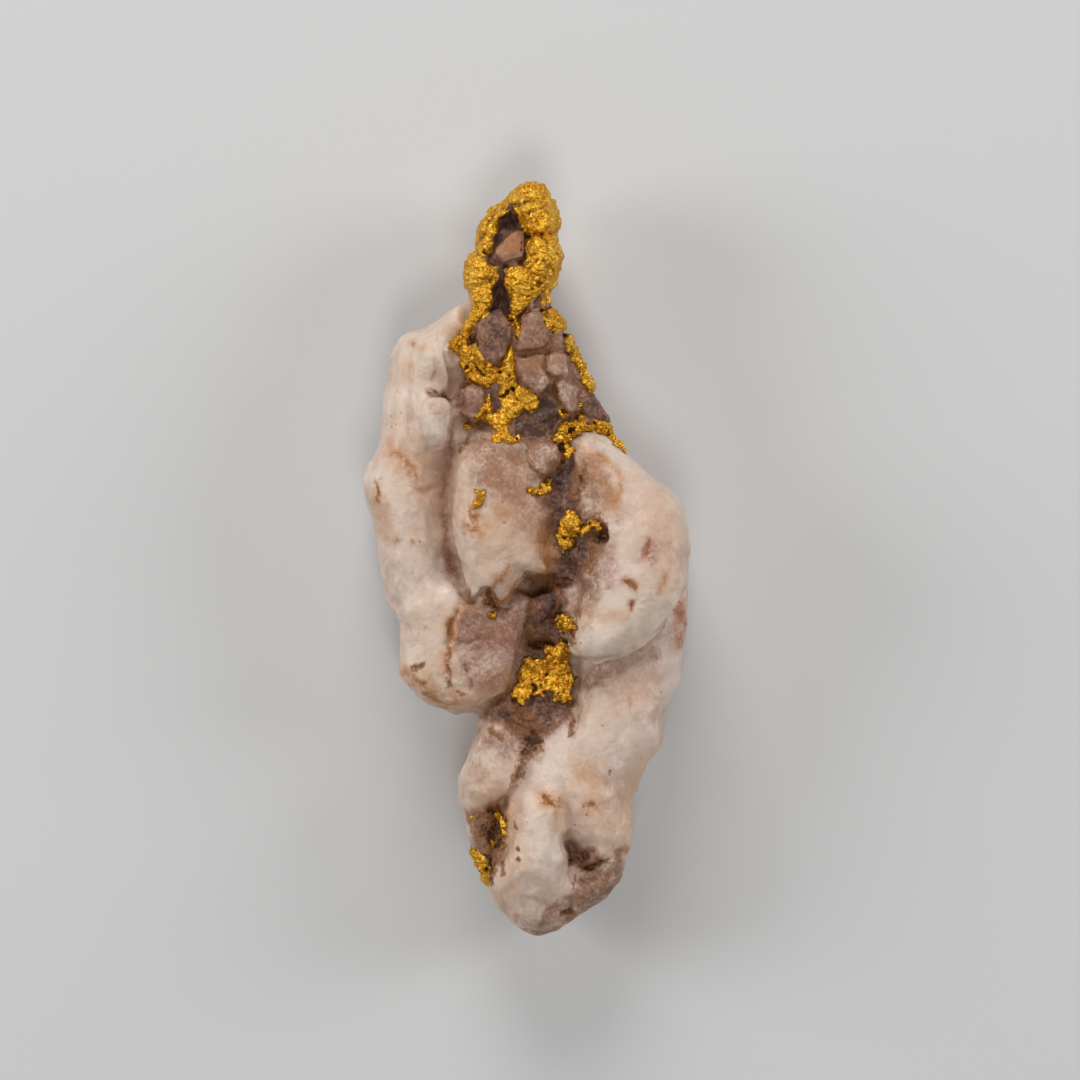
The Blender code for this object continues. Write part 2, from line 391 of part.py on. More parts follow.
def prism(name, outline, floor, top):
    """An upright prism over an outline, between two heights."""
    bm = bmesh.new()
    base = bm.faces.new([bm.verts.new((x * MM, y * MM, floor * MM)) for x, y in outline])
    bmesh.ops.triangulate(bm, faces=[base])
    raised = bmesh.ops.extrude_face_region(bm, geom=bm.faces[:])["geom"]
    bmesh.ops.translate(bm, verts=[v for v in raised if isinstance(v, bmesh.types.BMVert)],
                        vec=(0, 0, (top - floor) * MM))
    bmesh.ops.recalc_face_normals(bm, faces=bm.faces[:])
    return object_from(bm, name)


def applied(obj):
    """Turns what the object's modifiers make into its own mesh."""
    bpy.context.view_layer.update()
    graph = bpy.context.evaluated_depsgraph_get()
    made = bpy.data.meshes.new_from_object(obj.evaluated_get(graph))
    obj.modifiers.clear()
    obj.data = made
    return obj


def fuse(obj, voxel, rounds):
    """Makes the object's shells one closed skin and softens the steps of the voxels."""
    remesh = obj.modifiers.new("fuse", "REMESH")
    remesh.mode = "VOXEL"
    remesh.voxel_size = voxel
    soften = obj.modifiers.new("soften", "SMOOTH")
    soften.factor = 0.5
    soften.iterations = rounds
    return obj


def roughen(obj, name, clouds):
    """Raises and sinks the surface by a pattern of clouds."""
    grain, height = clouds
    pattern = bpy.data.textures.new(name, "CLOUDS")
    pattern.noise_scale = grain * MM
    uneven = obj.modifiers.new(name, "DISPLACE")
    uneven.texture = pattern
    uneven.texture_coords = "LOCAL"
    uneven.strength = height * MM
    return obj


def thin_out(obj, triangles):
    """Collapses edges until about this many triangles are left, keeping the forms."""
    applied(obj)
    obj.data.calc_loop_triangles()
    decimate = obj.modifiers.new("thin_out", "DECIMATE")
    decimate.ratio = triangles / len(obj.data.loop_triangles)
    decimate.use_collapse_triangulate = True
    return applied(obj)


def bodies_of(bm):
    """The faces of each separate shell, as lists."""
    waiting = dict.fromkeys(bm.faces)
    bodies = []
    while waiting:
        body = [waiting.popitem()[0]]
        for face in body:
            for side in face.edges:
                for near in side.link_faces:
                    if near in waiting:
                        del waiting[near]
                        body.append(near)
        bodies.append(body)
    return bodies


def keep_largest(obj):
    """Drops the crumbs that a remesh or a cut leaves loose, keeping the body with the most faces."""
    bm = bmesh.new()
    bm.from_mesh(obj.data)
    for body in sorted(bodies_of(bm), key=len)[:-1]:
        bmesh.ops.delete(bm, geom=body, context="FACES")
    bm.to_mesh(obj.data)
    bm.free()
    return obj


def faceted_block(name, base, facets):
    """A guide: a block that stands on a height, with a flat facet cut on it for each place and facing."""
    bm = bmesh.new()
    bmesh.ops.create_cube(bm, size=BLOCK * MM)
    bmesh.ops.translate(bm, verts=bm.verts[:], vec=(0, 0, (BLOCK / 2 + base) * MM))
    for place, facing in facets:
        whole = bm.verts[:] + bm.edges[:] + bm.faces[:]
        cut = bmesh.ops.bisect_plane(bm, geom=whole, plane_co=Vector(place) * MM, plane_no=facing,
                                     clear_outer=True)["geom_cut"]
        bmesh.ops.contextual_create(bm, geom=[e for e in cut if isinstance(e, bmesh.types.BMEdge)])
    bmesh.ops.recalc_face_normals(bm, faces=bm.faces[:])
    return guide(object_from(bm, name))


def boolean(obj, other, operation):
    """Applies one Boolean. Skins that a remesh has fused brush against themselves in the creases, which the
    EXACT solver takes for openings, so this is the MANIFOLD one: every operand here is closed."""
    step = obj.modifiers.new(operation, "BOOLEAN")
    step.operation = operation
    step.object = other
    step.solver = "MANIFOLD"
    return applied(obj)


def guide(obj):
    """Marks a cutter, which isn't part of the specimen."""
    obj.hide_render = True
    obj.display_type = "WIRE"
    return obj


def swollen(source, name, amount, clouds=None):
    """A guide: the source's surface moved out by an amount, or in where it is negative, and closed again."""
    made = source.copy()
    made.data = source.data.copy()
    made.name = name
    bpy.context.scene.collection.objects.link(made)
    push = made.modifiers.new("push", "DISPLACE")
    push.strength = amount
    push.mid_level = 0.0
    if clouds:
        roughen(made, name + "_lumps", clouds)
    return guide(thin_out(fuse(made, VOXEL, 0), GUIDE_TRIANGLES))


def widened(outline, amount):
    """The outline with every side moved outwards, whichever way round it is listed."""
    points = [Vector(p) for p in outline]
    count = len(points)
    area = sum(points[i - 1].cross(points[i]) for i in range(count))
    turn = 1.0 if area > 0 else -1.0
    wide = []
    for i in range(count):
        before = (points[i] - points[i - 1]).normalized()
        after = (points[(i + 1) % count] - points[i]).normalized()
        outward = turn * (Vector((before.y, -before.x)) + Vector((after.y, -after.x)))
        half = max(0.5, outward.length / 2)
        wide.append(points[i] + outward.normalized() * amount / half)
    return wide


def make_quartz():
    quartz = lobes_object("quartz_matrix", list(LOBES.values()) + list(CRYSTALS.values()))
    applied(fuse(quartz, VOXEL, 1))
    boolean(quartz, faceted_block("broken_back", -BACK_SPARE, BACK_FACETS), "INTERSECT")
    fuse(quartz, VOXEL, 0)
    roughen(quartz, "swells", SWELLS)
    roughen(quartz, "grains", GRAINS)
    return applied(fuse(quartz, VOXEL, 0))


def cut_pockets(quartz):
    """Sinks the shallow pockets that the gold is rooted in."""
    root = swollen(quartz, "pocket_floor", -(GOLD_ROOT + GAP))
    for name, (floor, outline) in {**ARMS, **PATCHES}.items():
        pocket = prism(name + "_pocket", widened(outline, GAP / MM), floor - GAP / MM, PRISM_TOP)
        boolean(pocket, root, "DIFFERENCE")
        boolean(quartz, guide(pocket), "DIFFERENCE")
    thin_out(fuse(quartz, VOXEL, 0), QUARTZ_TRIANGLES)
    boolean(keep_largest(quartz), faceted_block("resting_plane", 0.0, []), "INTERSECT")


def join(objects, name):
    """One object that holds the meshes of several, which are removed."""
    bm = bmesh.new()
    for obj in objects:
        bm.from_mesh(obj.data)
        bpy.data.objects.remove(obj)
    return object_from(bm, name)


def make_crown(level, clearance, gold):
    """The gold that wraps the spire, with the arms that run down from it over the quartz."""
    lumps = lobes_object("lumps", CROWN_LUMPS.values())
    arms = [boolean(prism(name, outline, floor, PRISM_TOP), level, "INTERSECT")
            for name, (floor, outline) in ARMS.items()]
    crown = join([lumps, *arms], "gold_crown")
    fuse(crown, GOLD_VOXEL, 1)
    applied(roughen(crown, "nuggets", NUGGETS))
    thin_out(fuse(crown, GOLD_VOXEL, 1), CROWN_TRIANGLES)
    for name, outline in WINDOWS.items():
        boolean(crown, guide(prism(name, outline, WINDOW_FLOOR, PRISM_TOP)), "DIFFERENCE")
    boolean(crown, clearance, "DIFFERENCE")
    finish(thin_out(keep_largest(crown), CROWN_TRIANGLES), gold)


def finish(obj, surface):
    """Leaves one body, in one material."""
    keep_largest(obj)
    obj.data.materials.clear()
    obj.data.materials.append(surface)


def main():
    for obj in list(bpy.data.objects):
        bpy.data.objects.remove(obj)
    quartz = make_quartz()
    level = swollen(quartz, "gold_level", GOLD_RISE, GOLD_WAVES)
    cut_pockets(quartz)
    finish(quartz, material("quartz", QUARTZ_COLOUR, 0.45, 0.0))
    clearance = swollen(quartz, "clearance", GAP)
    gold = material("gold", GOLD_COLOUR, 0.35, 1.0)
    make_crown(level, clearance, gold)
    for name, (floor, outline) in PATCHES.items():
        patch = boolean(prism(name, outline, floor, PRISM_TOP), level, "INTERSECT")
        finish(boolean(patch, clearance, "DIFFERENCE"), gold)


main()
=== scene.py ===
import bpy
import numpy as np
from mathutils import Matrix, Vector, noise


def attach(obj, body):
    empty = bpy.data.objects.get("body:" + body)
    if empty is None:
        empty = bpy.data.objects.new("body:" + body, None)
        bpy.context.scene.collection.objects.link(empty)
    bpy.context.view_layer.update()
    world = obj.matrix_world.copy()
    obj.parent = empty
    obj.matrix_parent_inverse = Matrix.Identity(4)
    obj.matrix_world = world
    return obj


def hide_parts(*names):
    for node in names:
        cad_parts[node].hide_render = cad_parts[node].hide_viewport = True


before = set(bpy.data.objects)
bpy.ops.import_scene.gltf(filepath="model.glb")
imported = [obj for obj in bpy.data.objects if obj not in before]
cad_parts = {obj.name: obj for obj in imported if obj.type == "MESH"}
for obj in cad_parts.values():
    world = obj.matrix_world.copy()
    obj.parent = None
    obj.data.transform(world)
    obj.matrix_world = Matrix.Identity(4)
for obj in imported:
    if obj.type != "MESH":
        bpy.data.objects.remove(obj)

# All shapes here are in millimetres in the part's own frame: +Y towards the gold tip, +Z up out of the seam face.
MM = 0.001
PIECE_TRIANGLES = 192000  # the most in one piece: its hidden parts are thinned first to keep within it
VERY_FAR = 1e9
SEED_STEP = 17.3  # how far along the noise the next seed looks

# the skin of the stone
CLOSE = 0.2  # the quartz and the gold are both swollen by this, joined, and shrunk again, which shuts the gaps
QUARTZ_GRAIN = 0.165  # spacing of the points on it
PATCH_SINK = 0.4  # how far the gold patches sink before they are joined to it
CROWN_SINK = (-20.0, -18.0, 0.35)  # where along -Y the crown's branches begin to sink, and do in full, and how far
TIP_ROUND = (25.0, 31.0, 1.3)  # where along Y the gold tip is rounded off, and by how much
TIP_MIDDLE, TIP_HALF = 7.6, 4.0  # its middle and half its thickness in z
TRIM = (0.05, 0.22)  # how far inside the outline the stone stays, and how much further where the crown covers it
COVERED = (19.5, 20.5)  # where along Y that sets in
FACE = (5.0, 8.0)  # the heights over which the plain back turns into the stained face
CARVED = (4.5, 7.5)  # and over which blocks, grooves and pits set in
FLAT_SIDE = (0.15, 1.2)  # and over which the flat underside turns into rough stone
BROKEN = (2.3, 0.3, 0.36, 0.35)  # broken facets: size, soft edge, how flat they are, and the most that they move
JUMBLE = (1.1, 0.30, 0.5, 0.14)  # crystals of the dark seam: the size and height of the big and of the small ones
GRAINS = [(0.11, 3.2, 41), (0.035, 1.0, 43), (0.022, 0.45, 47)]  # unevenness of all the quartz: height, size, seed

# the skin of the gold
SMALLEST_FLECK = 20  # faces of the stone that the smallest fleck covers
GOLD_EDGE = 0.12  # how far past its outline a patch runs on, to go down into the stone
GOLD_WALL = 0.15  # thickness of the skin
GOLD_ROOT = 0.5  # how far the stone sinks under it
BRANCHES = (18.5, 21.0)  # where along Y the crown's branches turn into the crown
REACH, NARROW = 0.13, (19.0, 20.0)  # how far gold reaches past its outline, and where along Y that stops
BACK_EDGE, BACK_TOP = 20.0, 8.6  # where along Y the crown ends on the back, and up to which height that counts
HIDDEN = 7.5  # the height below which its faces can be thinned
# the sizes of its big and small lumps, folds and grain, their heights, and what the small lumps gain on the
# branches, for the crown and for the patches
LUMP_SEEDS = (91, 93, 105, 109)
LUMPS = {True: ((2.1, 0.85, 0.46, 0.25), (0.12, 0.07, 0.13, 0.08), 0.05),
         False: ((1.3, 0.55, 0.36, 0.2), (0.17, 0.13, 0.14, 0.07), 0.0)}

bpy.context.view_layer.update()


# ---- repeatable noise on arrays of points

def waves(points, size, seed, octaves=1):
    """Smooth noise from about -1 to 1, with lumps of a size, and finer ones on them for each octave."""
    place = (points / size + SEED_STEP * seed).tolist()
    return 1.2 * np.array([noise.fractal(spot, 1.0, 2.03, octaves) for spot in place])


def cells(points, size, seed):
    """Scattered seeds about a size apart: the distance to the nearest two, in sizes, and a number for the nearest."""
    found = [noise.voronoi(spot) for spot in (points / size + SEED_STEP * seed).tolist()]
    far = np.array([distances[:2] for distances, _ in found])
    number = np.array([seeds[0][:] for _, seeds in found]) @ np.array([127.1, 311.7, 74.7])
    return far[:, 0], far[:, 1], number % 1.0


def swayed(points, amount, size, seeds, octaves=2):
    """The points moved about by noise, in x, in y and so on, with a seed for each."""
    return points[:, :len(seeds)] + amount * np.stack([waves(points, size, k, octaves) for k in seeds], axis=1)


def ramp(x, low, high):
    """Goes smoothly from 0 at low to 1 at high."""
    t = np.clip((x - low) / (high - low), 0, 1)
    return t * t * (3 - 2 * t)


# ---- shapes drawn in plan

def nearest_on(plan, line):
    """The nearest point of an open line to each point, in plan, and how far that is."""
    best = np.full(len(plan), VERY_FAR)
    found = np.zeros_like(plan)
    for a, b in zip(np.array(line), np.array(line[1:])):
        run = b - a
        t = np.clip((plan - a) @ run / max(run @ run, 1e-9), 0, 1)
        spot = a + t[:, None] * run
        far = np.linalg.norm(plan - spot, axis=1)
        found[far < best] = spot[far < best]
        best = np.minimum(best, far)
    return found, best


def line_distance(plan, line):
    return nearest_on(plan, line)[1]


def along(plan, line, width):
    """1 on a line, and fading out to the sides of it."""
    return np.exp(-(line_distance(plan, line) / width) ** 2)


def out_of_middle(plan, x, y, half_x, half_y):
    """0 in the middle of an ellipse, 1 on its edge, and more outside."""
    return ((plan[:, 0] - x) / half_x) ** 2 + ((plan[:, 1] - y) / half_y) ** 2


def side_distance(plan, line):
    """How far each point is to the left of an open line, in plan. To the right is negative."""
    best = np.full(len(plan), VERY_FAR)
    side = np.ones(len(plan))
    for a, b in zip(np.array(line), np.array(line[1:])):
        run = b - a
        away = plan - a
        t = np.clip(away @ run / (run @ run), 0, 1)
        far = np.linalg.norm(away - t[:, None] * run, axis=1)
        cross = np.sign(run[0] * away[:, 1] - run[1] * away[:, 0])
        side = np.where(far < best - 1e-6, cross, side)
        best = np.minimum(best, far)
    return best * side


def is_inside(plan, outline):
    inside = np.zeros(len(plan), bool)
    x, y = plan[:, 0], plan[:, 1]
    for (ax, ay), (bx, by) in zip(outline, outline[1:] + outline[:1]):
        if ay != by:
            inside ^= ((ay > y) != (by > y)) & (x < (bx - ax) * (y - ay) / (by - ay) + ax)
    return inside


def depth_inside(plan, outline):
    """How far each point is inside a closed outline, in plan. Outside it is negative."""
    far = line_distance(plan, outline + outline[:1])
    return np.where(is_inside(plan, outline), far, -far)


# ---- meshes

def mesh_of(name, points, faces):
    """A mesh of some faces, with only the points that they use."""
    used, renumbered = np.unique(faces, return_inverse=True)
    mesh = bpy.data.meshes.new(name)
    mesh.from_pydata((points[used] * MM).tolist(), [], renumbered.reshape(faces.shape).tolist())
    return mesh


def new_object(name, mesh):
    made = bpy.data.objects.new(name, mesh)
    bpy.context.scene.collection.objects.link(made)
    return made


def applied(obj):
    """Turns what the object's modifiers make into its own mesh."""
    bpy.context.view_layer.update()
    made = bpy.data.meshes.new_from_object(obj.evaluated_get(bpy.context.evaluated_depsgraph_get()))
    obj.modifiers.clear()
    obj.data = made
    return obj


def read(items, field, width, kind):
    """One field of all the items, as an array with a row for each."""
    flat = np.empty(width * len(items), kind)
    items.foreach_get(field, flat)
    return flat.reshape(-1, width)


def points_of(obj):
    return read(obj.data.vertices, "co", 3, float) / MM


def normals_of(obj):
    return read(obj.data.vertex_normals, "vector", 3, np.float32).astype(float)


def set_points(obj, points):
    obj.data.vertices.foreach_set("co", (points * MM).astype(np.float32).ravel())
    obj.data.update()


def corners_of(obj):
    """The points of each face, where all faces have as many."""
    return read(obj.data.loops, "vertex_index", 1, np.int32).reshape(len(obj.data.polygons), -1)


def add_modifier(obj, kind, **settings):
    made = obj.modifiers.new(kind.lower(), kind)
    for key, value in settings.items():
        setattr(made, key, value)
    return obj


def soften(obj, rounds, factor=0.5):
    return applied(add_modifier(obj, "SMOOTH", factor=factor, iterations=rounds))


def patches_of(ends, count):
    """The patch of joined points that each of the points is in, from the two ends of every edge."""
    a, b = ends.reshape(-1, 2).T
    label = np.arange(count)
    while (label[a] != label[b]).any():
        low = np.minimum(label[a], label[b])
        np.minimum.at(label, label[a], low)
        np.minimum.at(label, label[b], low)
        label = label[label]
    return label


def keep_largest(obj):
    """Drops every closed skin but the largest, such as the inside of a hollow."""
    label = patches_of(read(obj.data.edges, "vertices", 2, np.int32), len(obj.data.vertices))
    kept = label == np.bincount(label).argmax()
    corners = corners_of(obj)
    obj.data = mesh_of(obj.name, points_of(obj), corners[kept[corners[:, 0]]])


def thin(obj, spare):
    """Merges faces, among the spare points first, until the piece is small enough."""
    obj.data.calc_loop_triangles()
    count = len(obj.data.loop_triangles)
    if count > PIECE_TRIANGLES:
        group = obj.vertex_groups.new(name="spare")
        group.add(np.flatnonzero(spare).tolist(), 1.0, "REPLACE")
        applied(add_modifier(obj, "DECIMATE", ratio=PIECE_TRIANGLES / count, vertex_group="spare"))
        obj.vertex_groups.clear()
    return obj


def store(obj, name, values, kind="FLOAT_COLOR", field="color"):
    """Keeps a number or a colour for each point, for the material to read."""
    made = obj.data.attributes.new(name, kind, "POINT")
    made.data.foreach_set(field, np.ascontiguousarray(values, np.float32).ravel())


# ---- the outline of the whole specimen, seen from above, round from the gold tip and down the right side
OUTLINE = [
    (1, 30), (1.9, 29.2), (2.3, 27.6), (2.6, 26.4), (2.3, 25.5), (2.85, 23.8), (2.45, 22.2), (1.8, 20.9), (1.75, 20),
    (2.5, 19.1), (3.1, 18.2), (3.3, 17.2), (4.2, 15.7), (4.8, 14.9), (5.1, 13.3), (6.1, 11.8), (6.8, 11), (6.8, 10.3),
    (7.5, 9.5), (7.6, 8.7), (8.5, 7.8), (9.4, 7), (10.2, 6.2), (11.5, 5.4), (12.3, 4.6), (12.6, 3), (12.9, 1),
    (12.8, -0.6), (13.05, -2.5), (12.7, -4.1), (12.8, -5.3), (12.5, -7.3), (12.2, -9.7), (11.2, -12.1), (10.9, -14.4),
    (10.7, -15.2), (9.6, -16), (9.2, -17.6), (8.5, -19.2), (8.4, -20.8), (8.45, -22.4), (7.9, -24), (7.5, -25.6),
    (6.15, -27.1), (4.8, -27.9), (3.7, -28.7), (2.7, -29.5), (1.3, -29.9), (0.6, -30), (-0.6, -29.5), (-1.5, -28.7),
    (-2.3, -27.9), (-3.3, -26.3), (-3.5, -25.4), (-4.3, -23.4), (-5, -21.6), (-5, -20.4), (-5.6, -19.2),
    (-5.5, -17.6), (-5.2, -16.8), (-4.6, -15.2), (-3.9, -13.7), (-3.85, -12.2), (-4.5, -12.2), (-5.7, -12.55),
    (-6.6, -12.15), (-8.3, -11.3), (-9.1, -10.5), (-10.3, -8.9), (-10, -8.1), (-9.9, -6.5), (-10.1, -4.9),
    (-10.8, -4.1), (-11.15, -3.3), (-11.6, -1), (-12, 2.2), (-12.6, 3.8), (-13.05, 5.8), (-12.9, 7), (-12.2, 7.8),
    (-11.7, 9.4), (-11.5, 11), (-11.5, 12.5), (-11, 14.1), (-10.9, 15.7), (-10.2, 17.3), (-9.3, 18.1), (-8, 18.3),
    (-7, 18.9), (-6, 19.7), (-5.2, 20.5), (-4.75, 21.2), (-5, 22.5), (-4.7, 23.6), (-4, 24.3), (-3.95, 26),
    (-3.5, 26.8), (-2.7, 27.6), (-1.7, 28.3), (-1.3, 29.2), (-0.2, 30),
]

# ---- the quartz: what is carved into its skin

# soft valleys and cracks: half width, depth and line
GROOVES = [
    (0.62, 0.65, [(-4.9, 17.8), (-5.7, 15.8), (-5.3, 13.4), (-5.5, 12.2), (-5.9, 9.4), (-6.3, 7), (-6.5, 3.4),
     (-6.1, 0.6), (-5.5, -1), (-4.8, -2.2), (-4.3, -3.2)]),
    (0.18, 0.6, [(-7.7, 13.1), (-6.9, 12.9), (-6.3, 13), (-5.5, 12.7)]),
    (0.22, 0.75, [(12.4, -3.05), (11.5, -3.95), (10.3, -5.35), (9.1, -6.65), (7.1, -7.65), (5.5, -8.15), (4.5, -7.95),
     (3.4, -7.5), (3, -6.4)]),
    (0.24, 0.55, [(-5, -2.5), (-4.3, -3.4), (-3.7, -3.2), (-3.2, -2.6), (-2.8, -2.7), (-2.3, -3.7), (-1.3, -3.7),
     (-0.5, -2.2), (0.1, -1.3), (1.5, -1.6), (2.9, -2)]),
    (0.25, 0.3, [(0.6, -1.9), (0.35, -4), (0.1, -6), (-0.8, -8.6), (-1.5, -10.4), (-2.7, -11.3), (-3.7, -12.2)]),
    (0.25, 0.3, [(-4.6, -3.4), (-5.2, -4), (-5.9, -5), (-6.1, -6.5), (-5.9, -8), (-5.8, -10)]),
    (0.2, 0.22, [(-5.8, -6.6), (-4.6, -6.7), (-3.6, -6.3)]),
    (0.16, 0.25, [(-4.9, -8.4), (-4.6, -9.4), (-4.4, -10.4)]),
    (0.4, 0.35, [(3.1, -22), (3.4, -23.9), (3.8, -25.5), (3.4, -27), (3, -28.4)]),
    (0.22, 0.26, [(4, -24.6), (5, -24.4), (6.4, -23.7), (7.8, -23.1)]),
    (0.14, 0.22, [(3.9, -25.3), (4.8, -25.4), (5.6, -25.2)]),
    (0.22, 0.15, [(0.6, -13.8), (0, -15.5), (-0.6, -17), (-1.2, -18.2), (-1.9, -19.4)]),
    (0.35, 0.45, [(-1.9, -19.4), (-2.3, -20.6), (-2, -22), (-2.6, -23.2), (-2.9, -24.6)]),
    (1.1, 0.35, [(-3, -12.9), (-1, -12.9), (1, -12.4), (2.6, -12.2)]),
    (0.25, 0.35, [(3.5, -11.2), (3.8, -12.6), (3.5, -13.9)]),
    (0.2, 0.35, [(-0.4, 16), (0.4, 16.25), (1.2, 16.35), (1.9, 16.2)]),
    (0.18, 0.5, [(2.2, 13.3), (2.35, 12.7), (2.75, 11.9)]),
    (0.25, 0.35, [(2.9, 9.2), (2.6, 8.2), (2.2, 7), (1.4, 6.2)]),
    (0.45, 0.12, [(0.9, 5), (1.9, 3.8), (1.7, 1.8), (1.3, 0.2), (1.7, -1)]),
    (0.25, 0.25, [(3.4, 8), (3.6, 6.4), (4.4, 4.6), (4.2, 3.6)]),
    (0.22, 0.22, [(-9.2, 16.6), (-9.1, 14.6), (-9.3, 12.6), (-8.9, 11)]),
    (0.14, 0.16, [(-7.4, 16.4), (-7.2, 15), (-7.4, 13.8)]),
    (0.16, 0.18, [(-11.6, 6.2), (-11.9, 5.5), (-11.6, 4.7)]),
    (0.3, 0.25, [(-9.4, 6.6), (-8.6, 5.4), (-7.6, 5.2), (-6.9, 5.8)]),
]

# places that sink, or rise where the depth is negative: middle, half sizes and depth
PITS = [
    (5.75, 1.9, 0.6, 0.7, 1.6), (1.2, -6.9, 0.9, 0.6, 1.1), (1, -2.2, 1.1, 0.5, 1), (-4.3, 17.1, 0.32, 0.5, 0.9),
    (3.45, -23.9, 0.3, 0.3, 0.7), (-2.95, -2.7, 0.3, 0.4, 0.4), (4.9, -23.7, 1.9, 0.9, -1.25),
    (3.45, -24, 0.32, 0.38, 0.5), (-8.6, -8.6, 0.45, 0.2, 0.22), (-10.4, -3.6, 0.45, 0.5, 0.5),
    (3.2, -28.1, 0.4, 0.3, 0.3), (-2.5, -21.7, 0.45, 0.7, 0.5), (-2.8, -6.2, 2.6, 3.2, 0.45),
    (-0.9, -10.9, 0.35, 0.4, 0.4), (9.4, 0.6, 0.3, 0.35, 0.12), (8.1, -1.8, 0.3, 0.25, 0.2),
    (8.2, -3.6, 0.3, 0.25, 0.2), (4.4, 5.8, 0.35, 0.6, 0.3), (-9, 7.6, 0.9, 0.7, 0.2), (1.8, -0.4, 0.6, 0.4, 0.2),
]

# crystals and broken blocks with a flat face: how far they stand up, their tilt in x and y, how smoky they are,
# and their outline
BLOCKS = [
    (0.2, 0, 0.08, 0.5, [(-5.1, 13.2), (-4.3, 13.7), (-3.5, 13), (-3.5, 11.6), (-4.2, 10.7), (-5, 11.2),
     (-5.3, 12.4)]),
    (0.35, 0.16, 0.1, 0.74, [(-4, 17.9), (-3.4, 18.9), (-2.2, 19.1), (-1.2, 18.4), (-1.2, 17), (-1.8, 15.9),
     (-2.7, 15.3), (-3.5, 15.6), (-4, 16.6)]),
    (0.38, -0.1, 0.22, 0.6, [(0, 19.3), (1, 19.5), (1.4, 18.5), (1.75, 16.9), (1.4, 16.5), (0, 16.3), (-0.8, 16.2),
     (-0.5, 17.6)]),
    (0.26, 0.12, 0.1, 0.52, [(-0.8, 15.8), (0.6, 15.9), (1.5, 15.9), (1.4, 14.8), (1.9, 13.8), (1.4, 13), (0.4, 13.3),
     (-0.3, 13.8), (-0.8, 14.8)]),
    (0.26, -0.15, 0.05, 0.42, [(1.7, 16), (2.5, 16.2), (3.25, 15.9), (3.45, 14.7), (3, 13.95), (2, 14.3), (1.5, 15)]),
    (0.36, -0.1, -0.1, 0.44, [(2.35, 13.7), (3.1, 14.2), (3.8, 13.6), (4.2, 12.4), (4, 11.6), (3.2, 11.5),
     (2.6, 12.1)]),
    (0.15, -0.3, 0.1, 0.7, [(1.8, 18.1), (2.8, 18), (3.3, 16.7), (3.2, 16.1), (2, 16.2)]),
    (0.15, -0.25, 0.2, 0.78, [(4.1, 12.6), (5, 13.2), (6, 12.1), (6.9, 11), (6.7, 10.3), (5.2, 10.8), (4.2, 11.4)]),
    (0.28, 0.1, -0.15, 0.46, [(0, 9), (1.2, 9.1), (2.3, 8.8), (2.4, 8.1), (1.7, 6.6), (0.9, 6.9), (0.3, 7.9)]),
    (0.5, 0.1, -0.1, 0.54, [(-2.6, 23.7), (-2.4, 24.5), (-1.6, 25.2), (-0.9, 25.75), (-0.3, 25.6), (0, 24.6),
     (-0.1, 23.5), (-0.8, 22.9), (-2, 22.9)]),
]

# smooth swellings: how far they stand up, how far in from the edge they reach their height, and their outline
BULGES = [
    (0.5, 1.4, [(-8.4, 11.6), (-7.6, 12.8), (-6.4, 12.9), (-5.5, 12.5), (-5.2, 11), (-5.7, 9.2), (-6.5, 8.2),
     (-7.6, 8.4), (-8.4, 9.8)]),
    (0.35, 3, [(-5.6, 9), (-2.4, 9.8), (0.6, 7.4), (0.9, 4.6), (1.4, 2.4), (0.8, 0.2), (-0.4, -1), (-2, -2.8),
     (-3.8, -2.4), (-5, 0), (-5.9, 4.4)]),
    (0.3, 3.2, [(-0.6, -17.4), (1.2, -15.6), (4, -16.6), (4.4, -19.8), (3.2, -22), (3.2, -25.6), (2.6, -28.8),
     (0, -29.6), (-2, -27), (-2, -23.6), (-1.9, -20.4), (-1.2, -18.6)]),
    (0.3, 1.3, [(1.2, 8.6), (3.6, 8.8), (4.6, 6.4), (5.2, 3.8), (5, 1), (4.4, -1), (2.8, -1.2), (1.5, -0.6), (1.2, 2),
     (1.2, 5)]),
    (0.2, 1.3, [(4, -7), (5.4, -7.4), (7, -6.9), (9, -6), (10.2, -4.7), (11.4, -3.3), (12.2, -1.8), (11.4, 0.6),
     (8, -0.6), (5, -2.8)]),
    (0.5, 2.2, [(3, -17.5), (5.2, -17), (7.5, -19), (7.6, -22.5), (5.4, -23.6), (3.4, -22.6)]),
    (0.25, 1.4, [(-1, -14.6), (0.2, -14.9), (-0.6, -17.6), (-1.4, -19), (-2.2, -18.8), (-1.8, -16.6)]),
]

